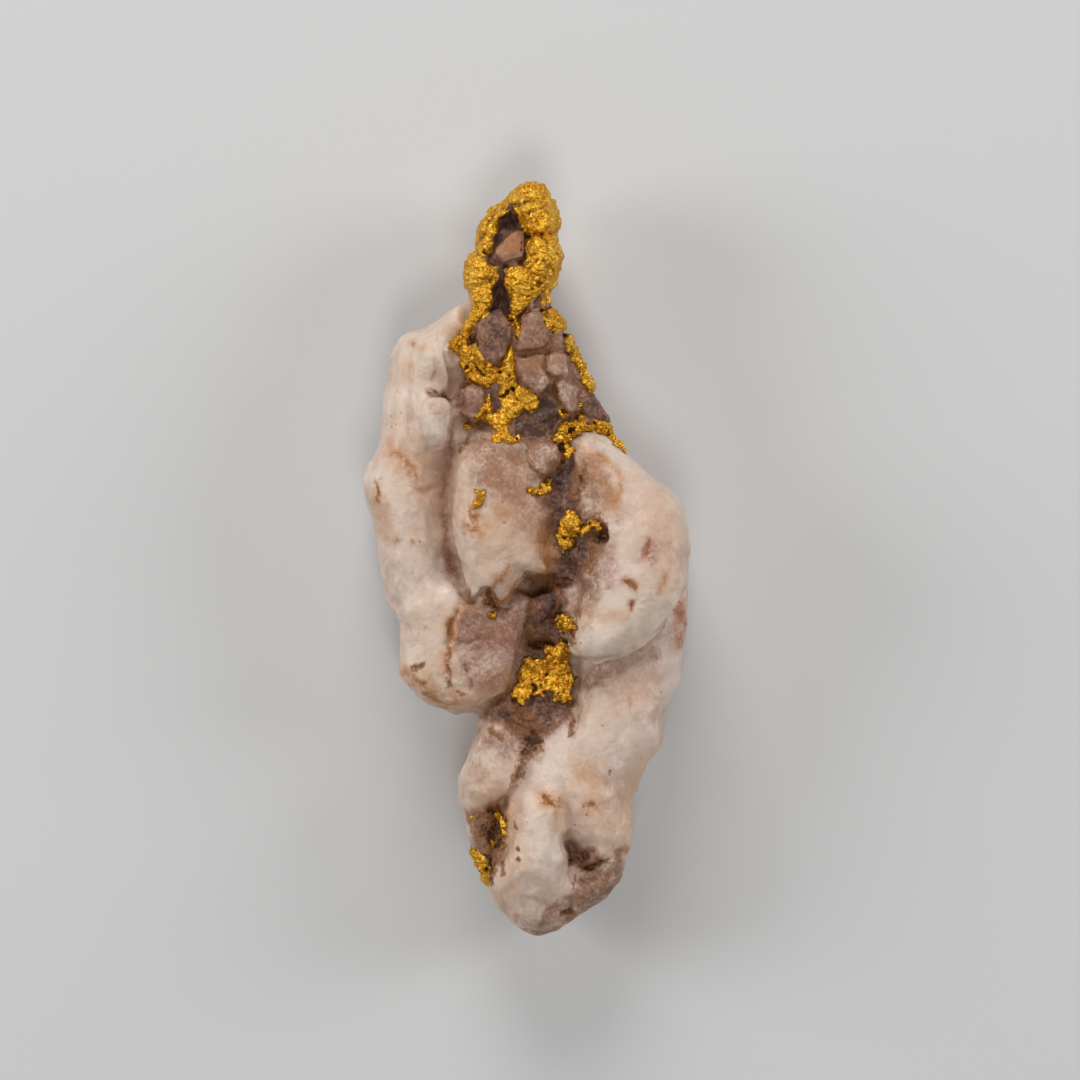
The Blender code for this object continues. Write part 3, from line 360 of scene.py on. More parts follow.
# ledges: how far the higher side stands up and the lower side sinks, how far off that fades out, how soft the
# edge is, and the line, with the higher side on its left
LEDGES = [
    (0.2, 0.3, 1, 0.25, [(-6.2, 4), (-6.1, 2), (-5.8, 0.4), (-5.3, -1.2)]),
    (0.35, 0.7, 0.9, 0.08, [(-5.3, -1.2), (-4.7, -2.2), (-4.3, -2.95), (-3.85, -2.9), (-3.5, -2.3), (-2.9, -2.1),
     (-2.5, -2.8), (-2, -3.55), (-1.4, -3.2), (-0.7, -1.9), (-0.1, -0.85), (1.2, -1.15), (2.9, -1.55)]),
    (0.08, 0.12, 1, 0.4, [(1.6, -0.6), (1.5, 1.4), (1.7, 3.2), (1.2, 5), (1.4, 6.4)]),
    (-0.4, -0.2, 1.3, 0.8, [(3.4, 7.6), (4.3, 5.6), (4.6, 4), (4.9, 2), (4.6, 0), (4.4, -2), (4.5, -4), (3.7, -6)]),
    (1.05, 0.55, 1.5, 0.08, [(3.4, -6.2), (3.6, -7.1), (4.6, -7.7), (5.4, -7.9), (7, -7.4), (9.1, -6.4), (10.3, -5.1),
     (11.5, -3.7), (12.8, -2.8)]),
    (0.15, 0.3, 1, 0.15, [(-5, -3.6), (-5.5, -4.6), (-6, -6), (-6, -8), (-5.7, -10)]),
    (0.2, 0.55, 0.9, 0.12, [(-3.8, -12.4), (-2.9, -11.3), (-1.6, -10.5), (-0.95, -9), (-0.25, -6.8)]),
    (0.25, 0.25, 1, 0.15, [(-5.3, 17.8), (-6.2, 16.5), (-5.6, 14.8), (-5.2, 13.6)]),
    (-0.3, -0.15, 1.2, 0.3, [(3.2, -22.4), (3.5, -24.4), (3.6, -26), (3.2, -28.2)]),
]

# zones of colour, with painted shade in a few of the smoky ones: channel, strength, blur and outline
SMOKE_AND_SHADE, RUST, RED, DARK = range(4)
ZONES = [
    (SMOKE_AND_SHADE, 0.7, 0.9, [(-4.4, 19.4), (-5.3, 16.6), (-5.1, 13.8), (-5.6, 11.6), (-4.6, 9.8), (-1.4, 9.4), (0, 8.9),
     (2.4, 6.4), (3.4, 8.6), (4.4, 10.6), (5.6, 12.2), (4.6, 14.4), (3.4, 17.4), (1.8, 19.9), (-1, 19.8)]),
    (SMOKE_AND_SHADE, 0.43, 1.6, [(-5, 10.4), (-1, 9.8), (1.2, 7.5), (1.6, 3), (1.2, 0.2), (-0.4, 2), (-2.4, 4.6),
     (-4.6, 6.2)]),
    (SMOKE_AND_SHADE, 0.42, 1.3, [(3.2, 9), (5.4, 8.8), (6.8, 6.6), (7, 2.6), (6.6, -1.6), (5, -4.6), (3.8, -6.6), (3.4, -2)]),
    (SMOKE_AND_SHADE, 0.8, 0.7, [(-5.4, 12), (-5.9, 9), (-6.2, 5), (-6.1, 1), (-5.2, -2), (-6.3, -1), (-6.7, 3), (-6.6, 7)]),
    (SMOKE_AND_SHADE, 0.72, 0.5, [(3.9, 13), (5.4, 13.2), (7.2, 11), (6.6, 10.2), (5, 10.6), (4, 11.2)]),
    (SMOKE_AND_SHADE, 0.3, 0.9, [(4, -24.4), (8.6, -22.8), (8, -26), (5, -29), (3.4, -27)]),
    (SMOKE_AND_SHADE, 0.62, 0.5, [(3.4, -22.6), (5, -23.2), (6.6, -23.6), (6, -24.6), (4.2, -24.5), (3.2, -24)]),
    (SMOKE_AND_SHADE, 0.8, 0.9, [(0.9, 8.8), (3.4, 9), (4.4, 6.4), (4.6, 4), (6.3, 2.6), (6.2, 0.4), (4.8, -1.2), (3.2, -2.4),
     (3.5, -4.6), (3, -6.6), (3.6, -8.4), (3.9, -12.6), (1.6, -14.2), (-0.6, -14.6), (-1.8, -13.2), (-3.8, -12.8),
     (-3.4, -11.8), (-1.2, -10.3), (-0.2, -6), (0.3, -2.2), (1.6, -0.6), (1.6, 2.6), (1, 5)]),
    (SMOKE_AND_SHADE, 0.52, 0.9, [(-4.8, -3), (-5.9, -5), (-6.1, -7.4), (-3.4, -7.6), (-0.4, -7.6), (0.4, -3.4), (0.3, -1.1),
     (-0.5, -1.8), (-1.4, -3.4), (-2, -3.9), (-3, -3.2)]),
    (SMOKE_AND_SHADE, 0.34, 0.9, [(-5.6, -6.4), (-0.2, -5.6), (-0.9, -9.4), (-2.8, -10.8), (-5.4, -10.6)]),
    (RED, 0.12, 1.4, [(-5.6, -4.4), (-0.2, -4), (-0.9, -9.2), (-2.8, -10.4), (-5.4, -10.4)]),
    (SMOKE_AND_SHADE, 0.98, 0.5, [(-1, 12.8), (1.2, 12.8), (2.6, 12.2), (3, 10.8), (2.4, 9.6), (0.4, 9.3), (-1.2, 9.6)]),
    (SMOKE_AND_SHADE, 0.74, 0.8, [(-4.7, -20), (-2.6, -19.2), (-1.6, -20.6), (-1.7, -23.6), (-2.8, -25), (-4.2, -23.4)]),
    (SMOKE_AND_SHADE, 0.95, 0.3, [(-4, 21.6), (-3.6, 28.6), (0.5, 30.6), (3.6, 28), (3.8, 19.2), (1.3, 19.3), (0.8, 21.6),
     (-0.6, 22.6)]),
    (SMOKE_AND_SHADE, 1.15, 0.3, [(-2.9, 22.6), (-1.2, 22.6), (-1, 18.8), (-3, 18.8)]),
    (SMOKE_AND_SHADE, 0.85, 0.4, [(0.4, 22.4), (2.4, 22), (2.4, 19.6), (0.6, 20.2)]),
    (SMOKE_AND_SHADE, 0.2, 1.2, [(-5.4, -15), (-1.4, -15.4), (-2, -19), (-5.4, -19.4)]),
    # painted shade: the toe's lower right, darkened where shade falls on it
    (SMOKE_AND_SHADE, 0.62, 0.9, [(8, -24.6), (7.6, -26.6), (4.6, -29.2), (3.6, -28), (5, -26)]),
    (SMOKE_AND_SHADE, 0.4, 0.5, [(1, -27.6), (3.6, -26.4), (4.4, -28.6), (2.4, -29.9), (0.2, -30.2)]),
    # painted shadow under the shoulder's ledge
    (SMOKE_AND_SHADE, 0.35, 0.8, [(3.6, -7.6), (6.2, -8.4), (8.6, -7.4), (7, -9.6), (4.6, -11), (3.6, -10.4)]),
    (SMOKE_AND_SHADE, 0.4, 1.2, [(-4.4, -13), (1.6, -13.6), (0.8, -16), (-1.6, -16.4), (-4.6, -15)]),
    # painted shadow under the rest of the shoulder's ledge, out to the right edge
    (SMOKE_AND_SHADE, 0.24, 0.5, [(5.5, -8.1), (9.1, -6.8), (10.3, -5.5), (11.5, -4.1), (12.8, -3.2), (12.6, -6.6),
     (10.4, -8.2), (7.4, -9.4)]),
    # more painted shade on the toe's lower right
    (SMOKE_AND_SHADE, 0.52, 0.9, [(4.2, -24.8), (8.4, -23.8), (7.8, -26.4), (4.4, -29), (3.6, -27)]),
    (SMOKE_AND_SHADE, 0.24, 1.2, [(-2, -26.8), (3.4, -26.4), (4.4, -29), (0.6, -30.4), (-2.2, -28.6)]),
    (SMOKE_AND_SHADE, 0.16, 0.8, [(-8.4, 9.4), (-8.4, 12.4), (-5.6, 12.9), (-5.2, 9.6), (-6.6, 8.2)]),
    (RUST, 0.16, 1.6, [(-3.4, 2.6), (0.6, 3.6), (0.8, -0.4), (-1.6, -2.6), (-3.4, -1.6)]),
    (RUST, 0.22, 1.6, [(-5.6, 8.6), (0.4, 8), (1.2, 1), (-1, -1.6), (-3.4, -3), (-5.4, 1)]),
    (RUST, 0.25, 1, [(8.6, -15.6), (11, -14), (9.4, -18.4), (8.8, -24), (7.4, -22), (7.6, -18.6)]),
    (RUST, 0.4, 0.6, [(-2.4, 24.4), (-0.8, 25.8), (-0.1, 25.2), (-0.4, 24.2), (-1.8, 23.8)]),
    (SMOKE_AND_SHADE, 1, 0.6, [(0.9, -2.4), (3, -2.6), (3.1, -4.8), (0.9, -5.2)]),
    (SMOKE_AND_SHADE, 0.5, 1.2, [(0.3, 5), (2.4, 6), (3.2, 0.4), (2.8, -1.8), (1.1, -1.3), (0.6, 0.8)]),
]

# painted light and shade on plain quartz: paler where painted lit, or, where negative, warmer and darker where
# painted shaded: strength, blur and outline
PAINTED_LIGHT_AND_SHADE = [
    (0.4, 1, [(4.2, -4.4), (6.5, -3.4), (9.5, -3.2), (11, -3.2), (9.2, -5.8), (7, -7.2), (4.6, -7.6)]),
    (0.15, 1.2, [(-10.6, 12), (-7.6, 12), (-6.4, 17.4), (-9, 17.8)]),
    (-0.1, 1.2, [(7, 6), (11, 4.5), (12.4, 1), (9.6, 0.6), (7.2, 2)]),
    (-0.16, 1.4, [(3.6, -15.6), (8.6, -15.6), (8.2, -20.6), (3.8, -20.4)]),
    (-0.22, 0.8, [(-8.4, -9.6), (-4.4, -10.2), (-4, -12.4), (-8.6, -12)]),
    (-0.12, 1, [(-10, -5), (-6.6, -5), (-6.6, -9), (-9.8, -9)]),
    (-0.1, 1.4, [(-5.4, 4), (0.6, 4), (0.8, -0.4), (-1.6, -2.4), (-4.6, -1)]),
]

# stains along lines or round spots, with painted shade in a few pits and hollows: channel, strength, half width and
# line
STAINS = [
    (DARK, 0.64, 0.75, [(-0.4, -12.8), (0.3, -13.6), (0.2, -14.5)]),
    (DARK, 0.75, 0.28, [(0.7, -14), (0.9, -14.6)]),
    (DARK, 0.6, 0.3, [(-2.7, -13.6), (-2.2, -14.3)]),
    (DARK, 0.52, 0.24, [(3.6, -11.5), (3.8, -12.6), (3.5, -13.8)]),
    (DARK, 0.4, 0.42, [(0.1, -14.8), (-0.2, -16), (-0.6, -17.2)]),
    (DARK, 0.32, 0.34, [(-0.6, -17.2), (-1.2, -18.4), (-1.8, -19.4)]),
    (DARK, 0.75, 0.5, [(-2.6, -20.6), (-2.5, -21.6), (-2.2, -22.4)]),
    (DARK, 1, 0.25, [(3.4, -23.8), (3.5, -24.1)]),
    (DARK, 0.85, 0.3, [(-2.9, -19.9), (-2.2, -20.3), (-1.9, -21)]),
    (DARK, 0.8, 0.35, [(-3.6, -21.4), (-2.8, -22), (-2.6, -22.8)]),
    (DARK, 0.8, 0.3, [(-3.4, -23.4), (-2.8, -24.2), (-2.9, -25.4)]),
    (DARK, 0.55, 0.22, [(-1.9, -24), (-1.8, -25)]),
    (DARK, 0.72, 0.26, [(4.3, -24.5), (5.2, -24.4), (5.9, -24.1)]),
    (DARK, 0.6, 0.1, [(3.9, -25.3), (4.8, -25.4), (5.6, -25.2)]),
    (SMOKE_AND_SHADE, 0.6, 0.55, [(3.6, -22.9), (4.3, -23.2), (4.9, -23.3)]),
    (DARK, 0.42, 0.1, [(6, -24.1), (6.6, -23.7), (7.2, -23.4)]),
    (DARK, 0.5, 0.12, [(3.7, -25.2), (3.6, -26.3)]),
    (SMOKE_AND_SHADE, 0.45, 0.4, [(7.2, -23.5), (8, -22.9)]),
    (DARK, 0.55, 0.25, [(3, -27.9), (3.5, -28)]),
    (DARK, 0.45, 0.25, [(-0.4, -29.4), (0.8, -29.8), (2, -29.5)]),
    (DARK, 0.75, 0.1, [(-0.6, -22.7), (-0.6, -22.9)]),
    (DARK, 0.75, 0.12, [(-0.6, -23.6), (-0.5, -23.9)]),
    (DARK, 0.7, 0.09, [(-0.9, -20.8), (-0.7, -21.2)]),
    (RUST, 0.8, 0.4, [(-5.1, -3.7), (-5.9, -4.9), (-6.1, -6.4), (-6.2, -8.6)]),
    (DARK, 0.38, 0.2, [(-5.3, -3.9), (-5.9, -4.9), (-6.1, -6.4)]),
    (DARK, 0.35, 0.3, [(-6, -7.4), (-6.2, -9), (-6.4, -10.2)]),
    (DARK, 0.6, 0.2, [(-5.3, -10.7), (-4.8, -10.9)]),
    (DARK, 0.36, 0.16, [(-4.7, -8.2), (-4.5, -9.2), (-4.2, -9.9)]),
    (DARK, 0.6, 0.2, [(-8.9, -8.7), (-8.3, -8.5)]),
    (DARK, 1, 0.4, [(-4.5, 17.4), (-4.2, 16.7)]),
    # partly dark stain, partly painted shade in the deep pit right of the centre cluster
    (DARK, 0.95, 0.38, [(5.5, 2.8), (5.9, 2.2), (5.8, 1.5)]),
    # partly dark stain, partly painted shade in the pit above the lower cluster
    (DARK, 0.85, 0.5, [(0.6, -6.8), (1.7, -6.9)]),
    # painted shadow under the tongue's overhang
    (DARK, 0.58, 0.5, [(0.1, -1.6), (1.6, -2.1)]),
    (DARK, 0.3, 0.4, [(0.8, 5), (1.9, 4), (1.7, 1.8), (1.2, 0.2)]),
    # painted shade in the hollow under the tongue's end
    (DARK, 0.55, 0.22, [(-3.1, -2.5), (-2.9, -3.1)]),
    (DARK, 0.55, 0.25, [(3, 8.8), (2.6, 8), (2.1, 7)]),
    (DARK, 0.6, 0.35, [(4, 6.6), (4.3, 5.6), (3.9, 4.8)]),
    (DARK, 0.6, 0.2, [(2.25, 13.2), (2.5, 12.3), (2.8, 11.8)]),
    (DARK, 0.45, 0.14, [(-0.3, 16.05), (0.6, 16.3), (1.7, 16.3)]),
    (DARK, 0.5, 0.16, [(-7.6, 13.05), (-6.6, 12.9), (-5.6, 12.8)]),
    (DARK, 0.55, 0.3, [(0.4, -3), (0.3, -4.6), (0, -6)]),
    (DARK, 0.55, 0.2, [(2.9, -5.6), (3.6, -5.9)]),
    (DARK, 0.7, 0.4, [(-0.9, -10.4), (-1, -11.4)]),
    (DARK, 0.35, 0.25, [(-0.2, 11), (0.6, 10.4), (1.6, 10.2)]),
    (DARK, 0.5, 0.1, [(6.6, -16.7), (6.5, -17)]),
    (RUST, 0.95, 0.65, [(1.5, -18.8), (2.3, -19.2)]),
    (RUST, 0.35, 0.4, [(2.6, -20), (3.2, -21.6)]),
    (RUST, 0.85, 0.2, [(9.6, 1.3), (9.4, 0.6), (9.2, 0.2)]),
    (RUST, 0.95, 0.26, [(7.8, -1.8), (8.3, -2), (8.5, -2.2)]),
    (RUST, 0.95, 0.24, [(8.2, -3.4), (8.1, -3.9)]),
    (DARK, 0.6, 0.16, [(8, -1.9), (8.2, -2)]),
    (DARK, 0.55, 0.14, [(8.2, -3.5), (8.1, -3.8)]),
    (RUST, 0.95, 0.4, [(4.9, -19.3), (4.9, -19.8)]),
    (RUST, 0.35, 1.2, [(4.4, -16.6), (6.2, -18.4), (5.6, -21.4)]),
    (RUST, 0.55, 0.3, [(5.4, 8), (6.6, 7.5), (7.4, 6.6), (7.4, 5.4), (6.8, 4.2)]),
    (RUST, 0.4, 0.8, [(4.4, 8.4), (6, 6), (6.2, 4)]),
    (RUST, 0.6, 0.35, [(-9, 17.1), (-8.4, 16.6)]),
    (RUST, 0.35, 0.5, [(-9.4, 15.4), (-9.3, 14)]),
    (RUST, 0.45, 0.3, [(-7.3, 14.4), (-7, 15.2)]),
    (RUST, 0.6, 0.8, [(-10.4, 8.4), (-9.6, 7.2), (-8.8, 6.6)]),
    (RUST, 0.3, 1.1, [(-8.4, 7.8), (-7.4, 6.8), (-7.8, 4.6)]),
    (RUST, 0.65, 0.14, [(-12, 6), (-11.9, 5.2), (-11.6, 4.6)]),
    (RUST, 0.4, 0.6, [(-12.4, 5.2), (-11.4, 4), (-11.3, 2)]),
    (RUST, 0.6, 0.14, [(-10.3, 1.4), (-10.1, 1.2)]),
    (RUST, 0.6, 0.14, [(-9.2, 1.4), (-8.9, 1.3)]),
    (RUST, 0.6, 0.12, [(-8, -5.5), (-7.8, -5.4)]),
    (RUST, 0.6, 0.45, [(-9.9, -8.8), (-8.8, -9.2), (-8, -9.6)]),
    (RUST, 0.55, 0.5, [(-1.7, -9.4), (-1.5, -10.4)]),
    (RUST, 0.4, 1, [(-7.4, -10.6), (-5.4, -11.2), (-3, -10.4)]),
    (RUST, 0.55, 0.25, [(-2.7, -2.4), (-2.4, -1.5)]),
    (RUST, 0.35, 0.6, [(-4.2, 3), (-3.6, 2), (-2.2, 3.4)]),
    (RUST, 0.55, 0.2, [(-4.4, 3.8), (-4.3, 2.9)]),
    (RUST, 0.45, 0.6, [(1.6, 2), (2.2, 0.4), (1.6, -1)]),
    (RUST, 0.35, 1, [(-1.2, -21), (-0.8, -23.4), (-1.6, -26.4)]),
    (RUST, 0.3, 1.4, [(-3.2, -18.6), (-1.8, -19.6)]),
    (RUST, 0.35, 0.7, [(0.4, 15.2), (1.6, 15.4)]),
    (RUST, 0.4, 0.5, [(-1, 25.2), (-0.6, 24.4)]),
    (RUST, 0.35, 0.5, [(5, -4.4), (6.4, -4.6), (7.6, -4.6)]),
    (RUST, 0.3, 0.8, [(10.4, 4.4), (10.8, 1.6), (10.6, -1.4)]),
    (RUST, 0.7, 0.25, [(-2.9, -2.6), (-2.5, -3), (-2, -3.5), (-1.4, -3.1), (-0.8, -2)]),
    (DARK, 0.75, 0.28, [(-3.2, -3.5), (-2.7, -3.5), (-2.3, -3.9)]),
    (DARK, 0.45, 0.3, [(0.2, 7.6), (1, 6.4), (1.6, 5.6)]),
    (DARK, 0.5, 0.25, [(-4.7, 9.6), (-5.2, 8.4)]),
    (DARK, 0.55, 0.18, [(2.4, -1.6), (2.6, -3), (2.1, -4.2)]),
    (DARK, 0.6, 0.3, [(4.6, -0.9), (5.4, 0.4), (5.2, 1.2)]),
    (DARK, 0.5, 0.25, [(4.2, -4.2), (3.7, -5.6), (3.6, -6.6)]),
    (DARK, 0.45, 0.2, [(4.7, 7.4), (4.4, 6.2)]),
    (RUST, 0.55, 0.5, [(0.6, 1.8), (1.4, 1), (1.5, -0.4)]),
    (RUST, 0.5, 0.4, [(-4.6, 2.2), (-3.9, 3.6)]),
    (RUST, 0.6, 0.3, [(-1.4, -0.6), (-2, -1.8)]),
    (RUST, 0.5, 0.6, [(-9, -10.2), (-7.4, -11.2), (-5.8, -11.8)]),
    (RUST, 0.45, 0.25, [(10.8, -1.2), (10.6, -2.6)]),
    (RED, 0.75, 0.25, [(9.6, 1.2), (9.3, 0.4), (9.8, -0.2)]),
    (RED, 0.45, 0.6, [(9.8, 1), (9.2, 0)]),
    (RED, 0.8, 0.28, [(7.8, -1.8), (8.4, -2)]),
    (RED, 0.7, 0.24, [(8.2, -3.4), (8.1, -3.9)]),
    (RED, 0.5, 0.45, [(6.6, 0.2), (6.9, -1), (6.6, -2)]),
    (RED, 0.35, 0.5, [(12.4, 0.4), (11.6, -0.6), (12.2, -2.2)]),
    (RED, 0.8, 0.45, [(12.2, -3.8), (12.3, -5.2), (12.2, -6.6)]),
    (RUST, 0.6, 0.45, [(12.2, -4.2), (12.1, -5.6), (11.9, -6.8)]),
    (RED, 0.4, 0.2, [(8.1, -10.9), (8.2, -11.5)]),
    (RED, 0.4, 0.6, [(11, -12.4), (11, -14.6)]),
    (RED, 0.25, 1.6, [(7.6, -10.4), (9.8, -9)]),
    (RED, 0.25, 1.2, [(-1.6, -7.4), (-2.4, -9.4)]),
    (RED, 0.35, 0.45, [(0.9, -3), (1.2, -4)]),
]

# ---- the gold
CROWN_OUTLINE = [
    (0.5, 31), (-3, 30), (-6, 26), (-6.4, 23), (-5.4, 20.9), (-4.5, 20.8), (-4.3, 20), (-4.3, 19.2), (-4.9, 18.4),
    (-5.3, 17.7), (-6, 17), (-6.1, 16.5), (-5.3, 16), (-5.3, 15.2), (-4.8, 14.3), (-4.4, 13.8), (-3.9, 13.8),
    (-3.1, 13.4), (-2.3, 14), (-2, 13.4), (-2.2, 12.8), (-1.9, 12), (-2.3, 11.4), (-2.6, 11.4), (-2.7, 12),
    (-2.85, 12.9), (-3.3, 12.2), (-3.7, 11.6), (-4.1, 10.9), (-3.4, 10.8), (-2.7, 10.3), (-2.3, 10.1), (-2.8, 9.6),
    (-2.6, 9.1), (-1.9, 9.2), (-1.2, 9), (-0.5, 9.3), (-0.6, 9.7), (-1, 9.5), (-1.4, 9.7), (-1.5, 10.3), (-1.2, 10.7),
    (-0.7, 11.2), (-0.2, 11.6), (0.4, 11.5), (1, 11.7), (1, 12.4), (0.6, 13), (0, 13.4), (-0.5, 13.4), (-0.8, 14),
    (-0.9, 14.9), (-1, 15.8), (-1.1, 16.8), (-1.7, 16), (-2, 15.2), (-2.6, 15.1), (-3.3, 15.4), (-3.7, 16.2),
    (-4, 16.9), (-4.5, 16.6), (-4.7, 17.4), (-4, 18.4), (-3.4, 19), (-2.9, 19.2), (-2.6, 20.2), (-2.5, 21.2),
    (-2.1, 22), (-2.1, 23), (-2.9, 23.1), (-3.1, 23.5), (-2.6, 24.2), (-2.5, 25.2), (-2.1, 26.2), (-2, 26.8),
    (-1.4, 27.1), (-0.9, 27), (-0.5, 26), (0, 25.6), (-0.1, 24.5), (0, 23.5), (-0.3, 23), (-1.3, 22.9), (-1.8, 22.8),
    (-1.8, 21.5), (-1.4, 20.5), (-1.3, 19.2), (-1.6, 19), (-1.2, 18.5), (-0.8, 18.1), (-0.9, 17.3), (-0.6, 17.3),
    (-0.4, 18.2), (-0.7, 18.9), (-0.2, 19.4), (0.3, 19.7), (0.6, 20.3), (1, 20.6), (1.2, 20), (1.2, 19.3),
    (1.6, 18.2), (2.2, 17.7), (2.8, 17.9), (3.2, 18.2), (4.2, 19), (3.4, 21.3), (4.2, 24), (3.8, 28), (2.4, 30.6),
]
# the crown's rounded lumps (middle, half sizes, rise) and the creases between them (half width, depth, line)
CROWN_DOMES = [
    (0.2, 28.6, 1.9, 1.5, 0.35), (0.9, 26.7, 1.5, 1.25, 0.4), (0.9, 23.7, 1.2, 1.9, 0.35), (2.3, 23.6, 0.8, 1.9, 0.2),
    (-2.9, 25.6, 0.6, 1.5, 0.3), (-3.8, 25.4, 0.5, 1.2, 0.2), (-3.8, 22.5, 1.3, 1.3, 0.4), (-3.3, 20.4, 0.9, 1, 0.25),
    (-0.7, 21.8, 1.1, 1.2, 0.35), (-0.7, 19.7, 0.8, 0.8, 0.25), (-2.2, 27.3, 0.7, 0.6, 0.2),
]
CROWN_CREASES = [
    (0.22, 0.3, [(-1.7, 27.5), (-0.9, 27.8), (-0.1, 27.9), (0.6, 28)]),
    (0.16, 0.3, [(-2.3, 27.4), (-2.9, 26.5), (-3.4, 25.3), (-3.8, 24.4)]),
    (0.2, 0.4, [(-4.3, 24.2), (-3.4, 23.7), (-2.8, 23.35)]),
    (0.18, 0.35, [(2.6, 25.6), (1.3, 25.5), (0.1, 25.35)]),
    (0.12, 0.25, [(0.3, 27.2), (0.7, 27.45), (1.2, 27.5), (1.6, 27.2), (1.8, 26.7)]),
    (0.14, 0.3, [(1.15, 25.5), (1.3, 25.1), (1.6, 24.95)]),
    (0.18, 0.13, [(1.6, 24.7), (1.65, 23.5), (1.5, 22.3)]),
    (0.12, 0.25, [(0.4, 22.25), (0.9, 22.3), (1.3, 22.2)]),
    (0.1, 0.22, [(0.4, 21.3), (0.2, 20.9)]),
    (0.1, 0.22, [(-0.8, 29.1), (-0.4, 29.05)]),
    (0.3, 0.35, [(1.4, 21.1), (1.3, 20.6)]),
    (0.25, 0.2, [(-3.2, 21.9), (-2.8, 21.8)]),
]
# each piece: the lowest that it reaches, how far it stands up, and the outlines of its patches
GOLD = {
    "gold_crown": (8.2, 0, [CROWN_OUTLINE]),
    "gold_edge_strip": (8, 0.22, [[(3.1, 17.4), (3.6, 17.6), (4.6, 16), (5, 15.2), (5.8, 14.4), (5.8, 13.4),
        (5, 13.1), (4.6, 13.3), (4.4, 13.9), (4.3, 14.7), (3.8, 15.3), (3.2, 16.2)], [(4.05, 12.15), (4.35, 12.2),
        (4.4, 11.9), (4.1, 11.8)], [(2.65, 11.5), (2.95, 11.5), (3, 11.15), (2.7, 11.1)]]),
    "gold_shoulder_patch": (9, 0.3, [[(2, 9.5), (2.6, 10.2), (3, 10.8), (3.5, 11), (4.1, 10.8), (4.2, 11.6),
        (4.4, 11.1), (4.7, 10.5), (5.3, 10.4), (5.2, 10.1), (4.3, 10), (3.9, 9.5), (3.5, 9.3), (3.3, 9), (3.7, 8.5),
        (3.3, 8), (3, 7.7), (2.9, 8.1), (3.2, 8.6), (2.9, 9.4), (2.4, 9.2)]]),
    "gold_shoulder_rim": (8.6, 0.22, [[(5.2, 10.2), (5.4, 10.9), (6, 10.6), (6.6, 10.6), (7.6, 10.6), (8.4, 9.6),
        (8.2, 8.3), (7.5, 8.5), (7, 8.9), (6.6, 9.5), (6, 9.8), (5.5, 10)]]),
    "gold_upper_chip": (8, 0.26, [[(-0.2, 5.6), (0.3, 5.2), (0.8, 5), (1.9, 5.1), (2, 5.5), (1.7, 6.3), (1.4, 6),
        (1, 5.5), (0.4, 5.4)]]),
    "gold_left_chip": (9, 0.2, [[(-4, 5.3), (-3.6, 5.1), (-3.2, 5.3), (-3.2, 4.9), (-3.5, 4.4), (-4.1, 3.9),
        (-4, 4.4), (-3.7, 4.7)], [(-4.75, 10.6), (-4.5, 10.6), (-4.5, 10.2), (-4.7, 10.2)]]),
    "gold_centre_cluster": (8, 0.34, [[(3, 3.2), (3.6, 3.5), (4, 3.2), (4.3, 2.9), (4.3, 2.5), (4.8, 2.3), (5, 2.8),
        (5.4, 2.9), (5.7, 2.6), (5.2, 2.3), (4.6, 1.9), (4, 2.1), (3.8, 1.5), (3.7, 1), (3.3, 0.9), (2.9, 0.5),
        (2.8, 1), (2.5, 1.5), (2.8, 2.1), (2.9, 2.7)]]),
    "gold_bead": (7.5, 0.34, [[(2.4, -4.9), (2.8, -4.5), (3.4, -4.5), (3.7, -5.1), (4, -5.5), (3.3, -5.6),
        (2.7, -5.4)], [(-2.9, -4.4), (-2.6, -4.3), (-2.45, -4.6), (-2.75, -4.75)]]),
    "gold_lower_cluster": (6.5, 0.34, [[(2.8, -6.4), (3.1, -7), (3, -7.9), (3.3, -8.5), (3.5, -9), (3.9, -9.4),
        (3.6, -10), (3.3, -10.2), (3.4, -11), (2.7, -11.4), (2.2, -11), (2, -10.4), (1.6, -10.5), (1, -10.9),
        (0.2, -10.9), (-0.4, -11.6), (-0.9, -10.9), (-0.6, -10), (-0.6, -9), (-0.2, -8.4), (0.3, -7.8), (0.9, -8.2),
        (1.6, -7.9), (2.2, -7.6), (1.6, -7.4), (2.4, -7)]]),
    "gold_toe_seam": (6, -0.08, [[(-2.5, -20.2), (-2.2, -20.1), (-1.8, -20.6), (-1.6, -21.3), (-1.7, -22.2),
        (-1.95, -21.9), (-2.1, -21.1)], [(-2.8, -22.4), (-2.5, -22.2), (-2.4, -22.7), (-2.7, -22.9)], [(-4.6, -20.4),
        (-4.2, -20.3), (-4.2, -20.6), (-4.5, -20.7)]]),
    "gold_toe_edge": (6, -0.1, [[(-5.2, -23), (-4.3, -22.9), (-3.7, -23.2), (-3.3, -23.8), (-2.8, -24.3), (-3, -25),
        (-3, -25.9), (-3.6, -26.6), (-4.6, -25.6), (-5.2, -24.2)]]),
}


def lump_of(name, source, shift):
    """A swollen copy of a CAD node, moved by shift."""
    made = new_object(name, source.data.copy())
    set_points(made, points_of(made) + normals_of(made) * CLOSE + shift)
    return made


def outward_of(source):
    """Which way the open side of a gold patch faces."""
    normals = normals_of(source)
    facing = normals[normals[:, 2] > 0.1].mean(axis=0)
    return facing / np.linalg.norm(facing)


